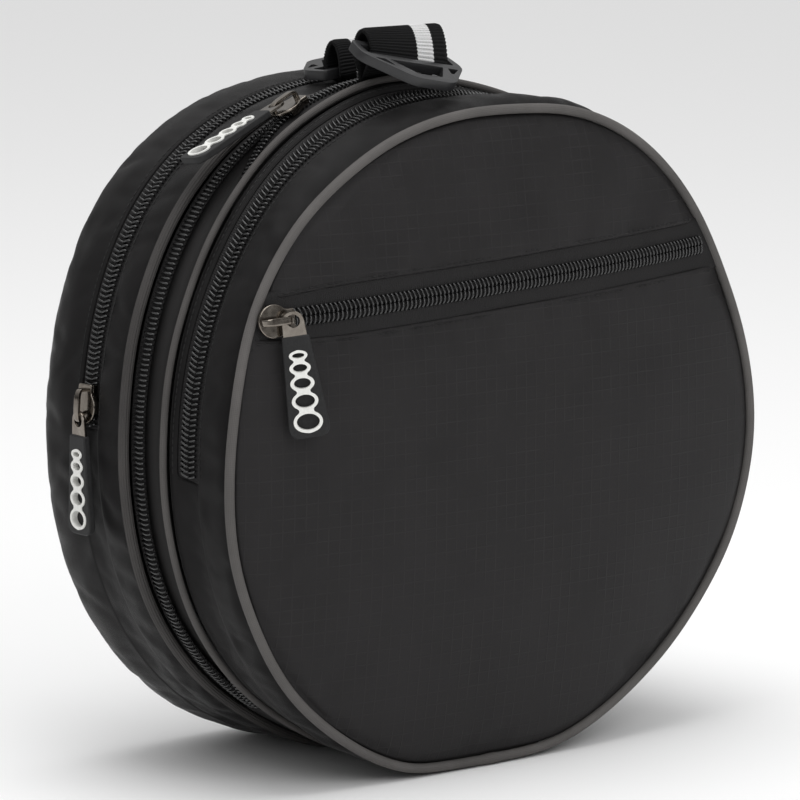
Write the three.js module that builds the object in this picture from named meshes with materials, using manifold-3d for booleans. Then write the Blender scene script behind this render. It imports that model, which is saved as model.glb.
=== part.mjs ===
// A round, drum-shaped sports bag that stands on its rolled edge, in millimetres, +Z up.
// The bag's axis lies along Y with its front panel facing -Y, and the floor is z = 0.
// Three zipped compartments lie one behind the other, edged by grey piping.
import * as THREE from 'three';
import { mergeVertices } from 'three/addons/utils/BufferGeometryUtils.js';
import Module from 'manifold-3d';

// Driving dimensions of the bag's body
const AXIS_HEIGHT = 147.6;
const WALL = 3;
const GAP = 0.3;
const RING_STEPS = 54;
const PIPING_RADIUS = 2.2;
const PIPING_SIDES = 5;
const PIPING_STAND = 1.3;
const PIPING_GROOVE = PIPING_RADIUS + GAP;

// Where the seams and zips lie along the axis
const FRONT_SEAM = -60;
const FRONT_ZIP = -32.6;
const POCKET_SEAM = -20.8;
const MIDDLE_ZIP = -6.3;
const BODY_SEAM = 7.9;
const REAR_ZIP = 33.7;
const BACK_SEAM = 72.5;

// The padded shell from front to back: its radius, how far its centre stands above AXIS_HEIGHT,
// how far its upper right sags in and how far its lower left tucks in
const SHELL = [
  { depth: FRONT_SEAM, radius: 148.6, lift: 0, sag: -2, tuck: 0 },
  { depth: -52, radius: 151.2, lift: 0.6, sag: -1.4, tuck: 0 },
  { depth: -42, radius: 152, lift: 1.6, sag: 0.6, tuck: 0 },
  { depth: FRONT_ZIP, radius: 151.6, lift: 3, sag: 3.5, tuck: 1 },
  { depth: POCKET_SEAM, radius: 155.4, lift: 6, sag: 9.5, tuck: 4.5 },
  { depth: MIDDLE_ZIP, radius: 155.6, lift: 6.6, sag: 9.5, tuck: 4.5 },
  { depth: BODY_SEAM, radius: 154.6, lift: 5.2, sag: 8, tuck: 4 },
  { depth: 20, radius: 156, lift: 5, sag: 7, tuck: 2 },
  { depth: REAR_ZIP, radius: 154.4, lift: 5, sag: 6, tuck: 0 },
  { depth: 52, radius: 156.4, lift: 5.4, sag: 5, tuck: 0 },
  { depth: 64.5, radius: 154.8, lift: 5.6, sag: 5, tuck: 0 },
  { depth: 69.5, radius: 152, lift: 5.6, sag: 5, tuck: 0 },
  { depth: BACK_SEAM, radius: 148.4, lift: 5.6, sag: 5, tuck: 0 },
];
const SAG = { angle: 60, width: 28 };
const TUCK = { angle: 238, width: 22 };

// The soft outline's departure from a circle, as waves round the axis and a swell at the base
const OUTLINE_WAVES = [
  { lobes: 2, cosine: 2.7, sine: 1.1 },
  { lobes: 3, cosine: 3.0, sine: 0.3 },
  { lobes: 4, cosine: -0.9, sine: -1.1 },
  { lobes: 5, cosine: 0.6, sine: -1.0 },
];
const BASE_SWELL = { angle: 295, width: 35, swell: 3.4 };

// Angles round the axis in degrees, counted from +X towards +Z
const FRONT_ZIP_ARC = { from: -4, to: 184, steps: 28 };
const MIDDLE_ZIP_ARC = { from: -54, to: 234, steps: 44 };
const REAR_ZIP_ARC = { from: 2, to: 179, steps: 27 };
const MIDDLE_BASE_ARC = { from: 234.3, to: 305.7, steps: 11 };
const ARC_END_GAP = 0.2;

// Zip sections: tape, coil chain and the windows they are sewn into
const TAPE_HALF = 6.4;
const CHAIN_HALF = 3.7;
const CHAIN_BEVEL = 0.8;
const CHAIN_TOP = 1.3;
const TAPE_TOP = -0.8;
const TAPE_BOTTOM = -2.2;
const WINDOW_ABOVE = 3;

// The middle zip is run open down the left side, from its slider to its lower end
const MIDDLE_SLIDER_ANGLE = 116.2;
const OPEN_RAMP = 26;
const OPEN_FRONT_BACKOFF = 8.6;
const OPEN_FRONT_TUCK = 6.5;
const OPEN_REAR_BACKOFF = 1.4;

// Front panel, back panel and the pocket zip across the front
const FRONT_DOME = 12;
const BACK_DOME = 6;
const DOME_POWER = 2.6;
const PANEL_INSET = 1.1;
const PANEL_RINGS = [0.42, 0.74, 0.92, 1];
const POCKET_ZIP_RISE = 70;
const POCKET_ZIP_TILT = THREE.MathUtils.degToRad(3);
const POCKET_TAPE_HALF = 11;
const POCKET_ZIP_REACH = 0.985;
const POCKET_ZIP_STEPS = 12;

// Sliders, pull links and pull tags
const SLIDER = { nose: 8, tail: 9.5, neck: 4, shoulder: 7.2, notch: 2, plate: 2.2 };
const BAIL = { half: 6, bar: 1.7, rise: 5.2, width: 3.2 };
const LINK = { length: 10.5, width: 9.6, bar: 1.8, thick: 1.6 };
const TAG = { length: 46, top: 9, bottom: 17, corner: 3.7, thick: 3.2 };
const RINGS = { count: 5, first: 2.7, last: 5.6, wall: 1.15, raise: 0.5, sides: 10, lead: 5.5, tail: 3.5 };
const LINK_PIVOT = 2.4;
const LINK_HEIGHT = 3.2;
const FRONT_SLIDER_ANGLE = 0;
const REAR_SLIDER_ANGLE = 175;
const REAR_PULL_PITCH = -5;
const MIDDLE_PULL_PITCH = -9.4;
const MIDDLE_PULL_YAW = -17;
const POCKET_SLIDER_X = -127;
const POCKET_PULL_TURN = { yaw: -40, tilt: 10 };
const POCKET_HANG = 3.1;

// Webbing loops on the top: place, depth, top above the axis, and the foot's
// place, half depth and gap to the shell
const WEBBING = { width: 44, thick: 2.2, turns: 20, stations: 3, overrun: 2 };
const LOOPS = [
  { name: 'front', x: -22.5, y: -22.5, deep: 14, top: 181, foot: -12.8, footHalf: 2.6, footGap: -0.3 },
  { name: 'back', x: -9.5, y: 14, deep: 14, top: 173, foot: 13.8, footHalf: 6, footGap: 0.7 },
];

// Moulded rings: each one's slot goes round the outer wall of its webbing loop, at a rise above the axis
const RING_THICK = 5;
const RING_SLOT = { near: 4, far: 11.6, half: 25 };
const RING_EDGE = [
  { x: 25.5, y: 0 },
  { x: 27.6, y: 1.2 },
  { x: 28.2, y: 4.4 },
  { x: 29.6, y: 11 },
  { x: 29.6, y: 14.4 },
  { x: 12, y: 31 },
  { x: 8.5, y: 32 },
];
const RING_WINDOWS = [
  { near: 15.6, far: 27, nearLeft: -15.5, nearRight: 15.5, farLeft: -7, farRight: 7 },
  { near: 15.8, far: 21.4, nearLeft: 18.2, nearRight: 24.4, farLeft: 16.2, farRight: 17.8 },
  { near: 15.8, far: 21.4, nearLeft: -24.4, nearRight: -18.2, farLeft: -17.8, farRight: -16.2 },
];
const RING_PLACES = [
  { x: -24.8, rise: 168, outward: -1, roll: 10, pitch: 24, seat: 7.7 },
  { x: -9.5, rise: 160.8, outward: 1, roll: -6, pitch: 0, seat: 7.8 },
];

// Small steps for slopes and for finding places on the curved faces
const ANGLE_STEP = 0.02;
const SEARCH_STEPS = 24;

const COLOURS = {
  fabric: 0x2b2a2b,
  tape: 0x1c1c1d,
  piping: 0x6a6764,
  metal: 0xc9c4bc,
  rubber: 0x1b1b1b,
  white: 0xe9e9e4,
  webbing: 0x1d1d1e,
  plastic: 0x2c2c2e,
};

const wasm = await Module();
wasm.setup();
const bag = new THREE.Group();
const radians = THREE.MathUtils.degToRad;

function addPiece(name, geometry, finish, parent = bag) {
  const metal = finish === 'metal';
  const material = new THREE.MeshStandardMaterial({
    color: COLOURS[finish],
    roughness: metal ? 0.3 : 0.75,
    metalness: metal ? 1 : 0,
  });
  const mesh = new THREE.Mesh(geometry, material);
  mesh.name = name;
  parent.add(mesh);
  return mesh;
}

function toSolid(geometry) {
  const bare = geometry.clone();
  bare.deleteAttribute('normal');
  bare.deleteAttribute('uv');
  const merged = mergeVertices(bare, 1e-4);
  const vertProperties = new Float32Array(merged.attributes.position.array);
  const triVerts = new Uint32Array(merged.index.array);
  return new wasm.Manifold(new wasm.Mesh({ numProp: 3, vertProperties, triVerts }));
}

function toGeometry(solid) {
  const mesh = solid.getMesh();
  const geometry = new THREE.BufferGeometry();
  geometry.setAttribute('position', new THREE.Float32BufferAttribute(mesh.vertProperties, 3));
  geometry.setIndex(Array.from(mesh.triVerts));
  return geometry;
}

// Skins closed sections of equal point counts into one solid; open runs get flat ends
function skin(sections, ring, endShape) {
  const count = sections[0].length;
  const index = [];
  const joins = ring ? sections.length : sections.length - 1;
  for (let s = 0; s < joins; s += 1) {
    const here = s * count;
    const next = ((s + 1) % sections.length) * count;
    for (let i = 0; i < count; i += 1) {
      const j = (i + 1) % count;
      index.push(here + i, next + i, next + j, here + i, next + j, here + j);
    }
  }
  if (!ring) {
    const end = (sections.length - 1) * count;
    for (const [p, q, r] of THREE.ShapeUtils.triangulateShape(endShape, [])) {
      index.push(p, q, r, end + r, end + q, end + p);
    }
  }
  const points = sections.flat();
  let volume = 0;
  for (let i = 0; i < index.length; i += 3) {
    const [a, b, c] = [points[index[i]], points[index[i + 1]], points[index[i + 2]]];
    volume += a.dot(new THREE.Vector3().crossVectors(b, c));
  }
  if (volume < 0) {
    index.reverse();
  }
  const geometry = new THREE.BufferGeometry().setFromPoints(points);
  geometry.setIndex(index);
  return geometry;
}

function arcAngles(arc, trim = 0) {
  const angles = [];
  for (let i = 0; i <= arc.steps; i += 1) {
    angles.push(radians(THREE.MathUtils.lerp(arc.from + trim, arc.to - trim, i / arc.steps)));
  }
  return angles;
}

function ringAngles() {
  return Array.from({ length: RING_STEPS }, (_, i) => (i * 2 * Math.PI) / RING_STEPS);
}

function shellAt(depth) {
  const above = SHELL.findIndex((row) => row.depth >= depth);
  if (above <= 0) {
    return above === 0 ? SHELL[0] : SHELL[SHELL.length - 1];
  }
  const [near, far] = [SHELL[above - 1], SHELL[above]];
  const share = (depth - near.depth) / (far.depth - near.depth);
  const blend = (column) => THREE.MathUtils.lerp(near[column], far[column], share);
  return { radius: blend('radius'), lift: blend('lift'), sag: blend('sag'), tuck: blend('tuck') };
}

// A smooth bump of height 1 round an angle in degrees
function bump(angle, { angle: centre, width }) {
  const off = THREE.MathUtils.euclideanModulo(THREE.MathUtils.radToDeg(angle) - centre + 180, 360) - 180;
  return Math.exp(-((off / width) ** 2));
}

function shellReach(angle, depth) {
  const { radius, sag, tuck } = shellAt(depth);
  const dents = sag * bump(angle, SAG) + tuck * bump(angle, TUCK);
  let wave = BASE_SWELL.swell * bump(angle, BASE_SWELL);
  for (const { lobes, cosine, sine } of OUTLINE_WAVES) {
    wave += cosine * Math.cos(lobes * angle) + sine * Math.sin(lobes * angle);
  }
  return radius + wave - dents;
}

// A point on the shell, height above its outer face, pressed flat where the bag stands
function onShell(angle, depth, height) {
  const reach = shellReach(angle, depth) + height;
  const z = AXIS_HEIGHT + shellAt(depth).lift + reach * Math.sin(angle);
  return new THREE.Vector3(reach * Math.cos(angle), depth, Math.max(z, -height));
}

function band(angles, from, to, ring) {
  const rows = SHELL.map((row) => row.depth).filter((depth) => depth > from + 1 && depth < to - 1);
  const outer = [from, ...rows, to].map((depth) => new THREE.Vector2(depth, 0));
  const inner = [to, ...rows.filter((_, i) => i % 2 === 1).reverse(), from];
  const outline = [...outer, ...inner.map((depth) => new THREE.Vector2(depth, -WALL))];
  const sections = angles.map((angle) => outline.map((p) => onShell(angle, p.x, p.y)));
  return skin(sections, ring, outline.slice().reverse());
}

function zipOutline(half) {
  const crest = CHAIN_HALF - CHAIN_BEVEL;
  return [
    [-half, TAPE_BOTTOM], [half, TAPE_BOTTOM], [half, TAPE_TOP], [CHAIN_HALF, TAPE_TOP],
    [crest, CHAIN_TOP], [-crest, CHAIN_TOP], [-CHAIN_HALF, TAPE_TOP], [-half, TAPE_TOP],
  ].map(([across, height]) => new THREE.Vector2(across, height));
}

function zipStrip(arc, depth) {
  const outline = zipOutline(TAPE_HALF);
  const sections = arcAngles(arc, ARC_END_GAP).map(
    (angle) => outline.map((p) => onShell(angle, depth + p.x, p.y)),
  );
  return skin(sections, false, outline);
}

function zipWindow(arc, depth) {
  const half = TAPE_HALF + GAP;
  const below = -WALL - WINDOW_ABOVE;
  const outline = [
    [-half, below], [half, below], [half, WINDOW_ABOVE], [-half, WINDOW_ABOVE],
  ].map(([across, height]) => new THREE.Vector2(across, height));
  const sections = arcAngles(arc).map(
    (angle) => outline.map((p) => onShell(angle, depth + p.x, p.y)),
  );
  return skin(sections, false, outline);
}

// Gussets: padded bands whose zip windows are cut out
function gusset(from, to, zipArc, zipDepth) {
  const ring = band(ringAngles(), from + PIPING_GROOVE, to, true);
  const cut = toSolid(ring).subtract(toSolid(zipWindow(zipArc, zipDepth)));
  return toGeometry(cut);
}

const frontTo = POCKET_SEAM - PIPING_GROOVE;
addPiece('front_gusset', gusset(FRONT_SEAM, frontTo, FRONT_ZIP_ARC, FRONT_ZIP), 'fabric');
addPiece('front_zip', zipStrip(FRONT_ZIP_ARC, FRONT_ZIP), 'tape');
addPiece('rear_gusset', gusset(BODY_SEAM, BACK_SEAM, REAR_ZIP_ARC, REAR_ZIP), 'fabric');
addPiece('rear_zip', zipStrip(REAR_ZIP_ARC, REAR_ZIP), 'tape');

const middleFrom = POCKET_SEAM + PIPING_GROOVE;
const middleTo = BODY_SEAM - PIPING_GROOVE;
addPiece('middle_base', band(arcAngles(MIDDLE_BASE_ARC), middleFrom, middleTo, false), 'fabric');

// Piping: a grey cord in each seam, pressed to the floor with the shell
function piping(depth) {
  const sections = ringAngles().map((angle) => {
    const centre = onShell(angle, depth, PIPING_STAND);
    centre.z = Math.max(centre.z, PIPING_RADIUS);
    const outward = new THREE.Vector3(Math.cos(angle), 0, Math.sin(angle));
    return Array.from({ length: PIPING_SIDES }, (_, i) => {
      const turn = (i * 2 * Math.PI) / PIPING_SIDES;
      const point = centre.clone().addScaledVector(outward, PIPING_RADIUS * Math.cos(turn));
      point.y += PIPING_RADIUS * Math.sin(turn);
      point.z = Math.max(point.z, 0);
      return point;
    });
  });
  return skin(sections, true);
}

addPiece('front_piping', piping(FRONT_SEAM), 'piping');
addPiece('pocket_piping', piping(POCKET_SEAM), 'piping');
addPiece('body_piping', piping(BODY_SEAM), 'piping');

// The middle zip's two halves meet along the top and right, and part on the left
function middleOpening(angle) {
  const degrees = THREE.MathUtils.radToDeg(angle);
  const ramp = [MIDDLE_SLIDER_ANGLE, MIDDLE_SLIDER_ANGLE + OPEN_RAMP];
  const fromSlider = THREE.MathUtils.smoothstep(degrees, ...ramp);
  const toEnd = MIDDLE_ZIP_ARC.to - degrees;
  return fromSlider * THREE.MathUtils.smoothstep(toEnd, 0, OPEN_RAMP);
}

function middleZipHalf(seamEdge, side, backoff, tuck) {
  const chainEdge = MIDDLE_ZIP + (side * GAP) / 2;
  const crest = CHAIN_HALF - CHAIN_BEVEL;
  const outline = [
    [seamEdge, TAPE_BOTTOM], [chainEdge, TAPE_BOTTOM], [chainEdge, CHAIN_TOP],
    [chainEdge + side * crest, CHAIN_TOP], [chainEdge + side * CHAIN_HALF, TAPE_TOP],
    [seamEdge, TAPE_TOP],
  ].map(([depth, height]) => new THREE.Vector2(depth, height));
  const sections = arcAngles(MIDDLE_ZIP_ARC, ARC_END_GAP).map((angle) => outline.map((p) => {
    const open = middleOpening(angle) * (p.x - seamEdge) / (chainEdge - seamEdge);
    return onShell(angle, p.x + side * backoff * open, p.y - tuck * open);
  }));
  return skin(sections, false, side < 0 ? outline : outline.slice().reverse());
}

const tucked = middleZipHalf(middleFrom, -1, OPEN_FRONT_BACKOFF, OPEN_FRONT_TUCK);
addPiece('middle_zip_front', tucked, 'tape');
addPiece('middle_zip_rear', middleZipHalf(middleTo, 1, OPEN_REAR_BACKOFF, 0), 'tape');

// Panels: domed discs that follow the shell's outline and stand clear of the piping on the floor
function panelEdge(angle, seam) {
  const edge = onShell(angle, seam, -PANEL_INSET);
  edge.z = Math.max(edge.z, 2 * PIPING_RADIUS + GAP);
  return edge;
}

function domeAt(x, z, seam, dome) {
  const edge = panelEdge(Math.atan2(z - AXIS_HEIGHT, x), seam);
  const share = Math.hypot(x, z - AXIS_HEIGHT) / Math.hypot(edge.x, edge.z - AXIS_HEIGHT);
  return { share, bulge: dome * (1 - Math.min(share, 1) ** DOME_POWER) };
}

function panel(seam, dome, outward) {
  const loop = (share, inset) => ringAngles().map((angle) => {
    const edge = panelEdge(angle, seam);
    const bulge = dome * (1 - share ** DOME_POWER) + inset + WALL / 2;
    const z = AXIS_HEIGHT + share * (edge.z - AXIS_HEIGHT);
    return new THREE.Vector3(share * edge.x, seam + outward * bulge, z);
  });
  const faces = [0, -WALL].map((inset) => PANEL_RINGS.map((share) => loop(share, inset)));
  const poles = [0, -WALL].map((inset) => new THREE.Vector3(
    0, seam + outward * (dome + inset + WALL / 2), AXIS_HEIGHT,
  ));
  const rings = [...faces[0], ...faces[1].slice().reverse()];
  const points = [poles[0], ...rings.flat(), poles[1]];
  const index = [];
  const last = points.length - 1;
  for (let i = 0; i < RING_STEPS; i += 1) {
    const j = (i + 1) % RING_STEPS;
    index.push(0, 1 + i, 1 + j);
    for (let r = 0; r < rings.length - 1; r += 1) {
      const here = 1 + r * RING_STEPS;
      const next = here + RING_STEPS;
      index.push(here + i, next + i, next + j, here + i, next + j, here + j);
    }
    const rim = last - RING_STEPS;
    index.push(rim + i, last, rim + j);
  }
  if (outward > 0) {
    index.reverse();
  }
  const geometry = new THREE.BufferGeometry().setFromPoints(points);
  geometry.setIndex(index);
  return geometry;
}

// The slanted line of the pocket zip, measured along and across it
function onPocketLine(along, across) {
  const x = along * Math.cos(POCKET_ZIP_TILT) - across * Math.sin(POCKET_ZIP_TILT);
  const rise = along * Math.sin(POCKET_ZIP_TILT) + across * Math.cos(POCKET_ZIP_TILT);
  return { x, z: AXIS_HEIGHT + POCKET_ZIP_RISE + rise };
}

function onFront(along, across, height) {
  const { x, z } = onPocketLine(along, across);
  const { bulge } = domeAt(x, z, FRONT_SEAM, FRONT_DOME);
  return new THREE.Vector3(x, FRONT_SEAM - WALL / 2 - bulge - height, z);
}

function pocketLineEnd(across, side) {
  let [inside, outside] = [0, side * AXIS_HEIGHT];
  for (let i = 0; i < SEARCH_STEPS; i += 1) {
    const middle = (inside + outside) / 2;
    const { x, z } = onPocketLine(middle, across);
    if (domeAt(x, z, FRONT_SEAM, FRONT_DOME).share < POCKET_ZIP_REACH) {
      inside = middle;
    } else {
      outside = middle;
    }
  }
  return inside;
}

function pocketZip() {
  const outline = zipOutline(POCKET_TAPE_HALF);
  const sections = [];
  for (let i = 0; i <= POCKET_ZIP_STEPS; i += 1) {
    sections.push(outline.map((p) => {
      const ends = [pocketLineEnd(p.x, -1), pocketLineEnd(p.x, 1)];
      return onFront(THREE.MathUtils.lerp(...ends, i / POCKET_ZIP_STEPS), p.x, p.y);
    }));
  }
  return skin(sections, false, outline);
}

function frontPanelHalf(side) {
  const reach = 4 * AXIS_HEIGHT;
  const block = new THREE.BoxGeometry(reach, reach, reach);
  const edge = POCKET_TAPE_HALF + GAP;
  block.translate(0, 0, side * (edge + reach / 2));
  block.rotateY(-POCKET_ZIP_TILT);
  block.translate(0, 0, AXIS_HEIGHT + POCKET_ZIP_RISE);
  return toGeometry(toSolid(panel(FRONT_SEAM, FRONT_DOME, -1)).intersect(toSolid(block)));
}

addPiece('front_panel_upper', frontPanelHalf(1), 'fabric');
addPiece('front_panel_lower', frontPanelHalf(-1), 'fabric');
addPiece('pocket_zip', pocketZip(), 'tape');
addPiece('back_panel', panel(BACK_SEAM + WALL / 2 + GAP, BACK_DOME, 1), 'fabric');

// A zip slider lies in its own frame: u along the zip, v across it, w out from the bag
function sliderBody() {
  const plate = new THREE.Shape();
  plate.moveTo(-SLIDER.nose, -SLIDER.neck);
  plate.lineTo(SLIDER.tail - SLIDER.shoulder, -SLIDER.shoulder);
  plate.lineTo(SLIDER.tail, -SLIDER.shoulder);
  plate.lineTo(SLIDER.tail - SLIDER.notch, 0);
  plate.lineTo(SLIDER.tail, SLIDER.shoulder);
  plate.lineTo(SLIDER.tail - SLIDER.shoulder, SLIDER.shoulder);
  plate.lineTo(-SLIDER.nose, SLIDER.neck);
  plate.closePath();
  const body = new THREE.ExtrudeGeometry(plate, { depth: SLIDER.plate, bevelEnabled: false });
  const arch = new THREE.Shape();
  arch.moveTo(-BAIL.half, -BAIL.bar / 2);
  arch.lineTo(BAIL.half, -BAIL.bar / 2);
  arch.lineTo(BAIL.half, BAIL.rise - BAIL.bar);
  arch.quadraticCurveTo(BAIL.half, BAIL.rise, BAIL.half - BAIL.bar, BAIL.rise);
  arch.lineTo(BAIL.bar - BAIL.half, BAIL.rise);
  arch.quadraticCurveTo(-BAIL.half, BAIL.rise, -BAIL.half, BAIL.rise - BAIL.bar);
  arch.closePath();
  const inner = BAIL.half - BAIL.bar;
  const eye = new THREE.Path();
  eye.moveTo(-inner, BAIL.bar / 2);
  eye.lineTo(inner, BAIL.bar / 2);
  eye.lineTo(inner, BAIL.rise - BAIL.bar);
  eye.lineTo(-inner, BAIL.rise - BAIL.bar);
  eye.closePath();
  arch.holes.push(eye);
  const settings = { depth: BAIL.width, bevelEnabled: false, curveSegments: 2 };
  const bail = new THREE.ExtrudeGeometry(arch, settings);
  bail.translate(0, 0, -BAIL.width / 2);
  bail.rotateX(Math.PI / 2);
  bail.translate(0, 0, SLIDER.plate);
  return toGeometry(toSolid(body).add(toSolid(bail)));
}

// Pull link, tag and raised rings run along +u from the bar that turns in the bail
function roundedOutline(length, halfStart, halfEnd, corner, path) {
  path.moveTo(corner, -halfStart);
  path.lineTo(length - corner, -halfEnd);
  path.quadraticCurveTo(length, -halfEnd, length, corner - halfEnd);
  path.lineTo(length, halfEnd - corner);
  path.quadraticCurveTo(length, halfEnd, length - corner, halfEnd);
  path.lineTo(corner, halfStart);
  path.quadraticCurveTo(0, halfStart, 0, halfStart - corner);
  path.lineTo(0, corner - halfStart);
  path.quadraticCurveTo(0, -halfStart, corner, -halfStart);
  return path;
}

function pullLink() {
  const half = LINK.width / 2;
  const inner = half - LINK.bar;
  const shape = roundedOutline(LINK.length, half, half, LINK.bar, new THREE.Shape());
  const eye = roundedOutline(LINK.length - 2 * LINK.bar, inner, inner, LINK.bar / 2, new THREE.Path());
  const corners = eye.getPoints(2).map((p) => new THREE.Vector2(p.x + LINK.bar, p.y));
  shape.holes.push(new THREE.Path(corners));
  const settings = { depth: LINK.thick, bevelEnabled: false, curveSegments: 2 };
  const geometry = new THREE.ExtrudeGeometry(shape, settings);
  geometry.translate(-LINK.bar / 2, 0, -LINK.thick / 2);
  return geometry;
}

const TAG_START = LINK.length - LINK.bar / 2 + GAP;

function pullTag() {
  const shape = roundedOutline(TAG.length, TAG.top / 2, TAG.bottom / 2, TAG.corner, new THREE.Shape());
  const settings = { depth: TAG.thick, bevelEnabled: false, curveSegments: 4 };
  const geometry = new THREE.ExtrudeGeometry(shape, settings);
  geometry.translate(TAG_START, 0, -TAG.thick / 2);
  return geometry;
}

// Five rings of growing size in a row, each biting into the next
function pullRings() {
  const radii = [];
  for (let i = 0; i < RINGS.count; i += 1) {
    radii.push(THREE.MathUtils.lerp(RINGS.first, RINGS.last, i / (RINGS.count - 1)));
  }
  const total = radii.reduce((sum, radius) => sum + 2 * radius, 0);
  const bite = (total + RINGS.lead + RINGS.tail - TAG.length) / (RINGS.count - 1);
  let start = TAG_START + RINGS.lead;
  let rings = null;
  const holes = [];
  for (const radius of radii) {
    const centre = start + radius;
    const disc = new THREE.CylinderGeometry(radius, radius, RINGS.raise, RINGS.sides);
    const bore = radius - RINGS.wall;
    const eye = new THREE.CylinderGeometry(bore, bore, 3 * RINGS.raise, RINGS.sides);
    for (const round of [disc, eye]) {
      round.rotateX(Math.PI / 2);
      round.translate(centre, 0, TAG.thick / 2 + GAP + RINGS.raise / 2);
    }
    rings = rings ? rings.add(toSolid(disc)) : toSolid(disc);
    holes.push(toSolid(eye));
    start += 2 * radius - bite;
  }
  return toGeometry(holes.reduce((solid, hole) => solid.subtract(hole), rings));
}

// The front zip's slider is out of sight, so it and its tag are one plain piece
function plainPull() {
  const tag = pullTag();
  tag.translate(SLIDER.tail - 2 * SLIDER.notch - TAG_START, 0, TAG.thick / 2);
  return toGeometry(toSolid(sliderBody()).add(toSolid(tag)));
}

function addPull(name, place, pull) {
  place.updateMatrixWorld(true);
  bag.add(place);
  addPiece(`${name}_slider`, sliderBody(), 'metal', place);
  place.add(pull);
  addPiece(`${name}_pull_link`, pullLink(), 'metal', pull);
  addPiece(`${name}_pull_tag`, pullTag(), 'rubber', pull);
  addPiece(`${name}_pull_rings`, pullRings(), 'white', pull);
}

// A slider's frame on the shell, u running with or against the angle
function sliderOnShell(angle, depth, sense) {
  const here = onShell(angle, depth, CHAIN_TOP + GAP);
  const ahead = onShell(angle + sense * ANGLE_STEP, depth, CHAIN_TOP + GAP);
  const u = ahead.sub(here).normalize();
  const [near, far] = [-TAPE_HALF, TAPE_HALF].map((side) => onShell(angle, depth + sense * side, 0));
  const across = near.sub(far);
  const w = new THREE.Vector3().crossVectors(u, across).normalize();
  const v = new THREE.Vector3().crossVectors(w, u);
  const group = new THREE.Group();
  group.applyMatrix4(new THREE.Matrix4().makeBasis(u, v, w).setPosition(here));
  return group;
}

function pullAlongZip(pitch, yaw) {
  const pull = new THREE.Group();
  pull.position.set(LINK_PIVOT, 0, SLIDER.plate + LINK_HEIGHT - LINK.thick / 2);
  pull.rotation.order = 'ZYX';
  pull.rotation.set(0, radians(-pitch), radians(yaw));
  return pull;
}

const frontPlace = sliderOnShell(radians(FRONT_SLIDER_ANGLE), FRONT_ZIP, -1);
bag.add(frontPlace);
addPiece('front_pull', plainPull(), 'rubber', frontPlace);
const middlePlace = sliderOnShell(radians(MIDDLE_SLIDER_ANGLE), MIDDLE_ZIP, 1);
addPull('middle', middlePlace, pullAlongZip(MIDDLE_PULL_PITCH, MIDDLE_PULL_YAW));
const rearPlace = sliderOnShell(radians(REAR_SLIDER_ANGLE), REAR_ZIP, 1);
addPull('rear', rearPlace, pullAlongZip(REAR_PULL_PITCH, 0));

// The pocket's slider sits flat on the front panel and its pull hangs from the bail's top bar
function pocketSlider() {
  const along = POCKET_SLIDER_X / Math.cos(POCKET_ZIP_TILT);
  const here = onFront(along, 0, CHAIN_TOP + GAP);
  const u = onFront(along + 1, 0, 0).sub(onFront(along - 1, 0, 0)).normalize();
  const up = onFront(along, 1, 0).sub(onFront(along, -1, 0));
  const w = new THREE.Vector3().crossVectors(u, up).normalize();
  const v = new THREE.Vector3().crossVectors(w, u);
  const group = new THREE.Group();
  group.applyMatrix4(new THREE.Matrix4().makeBasis(u, v, w).setPosition(here));
  return group;
}

function pocketPull(place) {
  const barCentre = new THREE.Vector3(LINK_PIVOT, 0, SLIDER.plate + BAIL.rise - BAIL.bar / 2);
  place.updateMatrixWorld(true);
  const pivot = place.localToWorld(barCentre);
  const yaw = radians(POCKET_PULL_TURN.yaw);
  const tilt = radians(POCKET_PULL_TURN.tilt);
  const right = new THREE.Vector3(Math.cos(yaw), Math.sin(yaw), 0);
  const down = new THREE.Vector3(0, 0, -Math.cos(tilt)).addScaledVector(right, Math.sin(tilt));
  const face = new THREE.Vector3(Math.sin(yaw), -Math.cos(yaw), 0);
  const across = new THREE.Vector3().crossVectors(face, down);
  const pull = new THREE.Group();
  const start = pivot.addScaledVector(down, -POCKET_HANG);
  pull.applyMatrix4(new THREE.Matrix4().makeBasis(down, across, face).setPosition(start));
  pull.applyMatrix4(place.matrixWorld.clone().invert());
  return pull;
}

const pocketPlace = pocketSlider();
addPull('pocket', pocketPlace, pocketPull(pocketPlace));

// The height of the shell's top at a place, found by walking the angle to that x
function shellTop(x, depth) {
  let angle = Math.PI / 2;
  for (let i = 0; i < SEARCH_STEPS; i += 1) {
    angle = Math.acos(x / shellReach(angle, depth));
  }
  return onShell(angle, depth, 0).z;
}

// Webbing loops: a strap folded into a standing loop, deepest where its ring hangs, sewn at its foot
function loopSection(loop, ring, x, inset) {
  const belly = AXIS_HEIGHT + ring.rise - Math.tan(radians(ring.roll)) * (x - ring.x);
  const foot = shellTop(x, loop.foot) + loop.footGap;
  const section = [];
  for (let i = 0; i < WEBBING.turns; i += 1) {
    const turn = (i * 2 * Math.PI) / WEBBING.turns;
    const rise = Math.sin(turn);
    const tall = rise > 0 ? AXIS_HEIGHT + loop.top - belly : belly - foot;
    const drop = Math.max(-rise, 0);
    const half = THREE.MathUtils.lerp(loop.deep / 2, loop.footHalf, drop) - inset;
    const y = THREE.MathUtils.lerp(loop.y, loop.foot, drop) + half * Math.cos(turn);
    section.push(new THREE.Vector3(x, y, belly + (tall - inset) * rise));
  }
  return section;
}

function loopSkin(loop, ring, inset, overrun) {
  const sections = [];
  for (let i = 0; i <= WEBBING.stations; i += 1) {
    const share = i / WEBBING.stations - 0.5;
    sections.push(loopSection(loop, ring, loop.x + share * (WEBBING.width + overrun), inset));
  }
  return skin(sections, false, sections[0].map((p) => new THREE.Vector2(p.y, p.z)));
}

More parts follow.
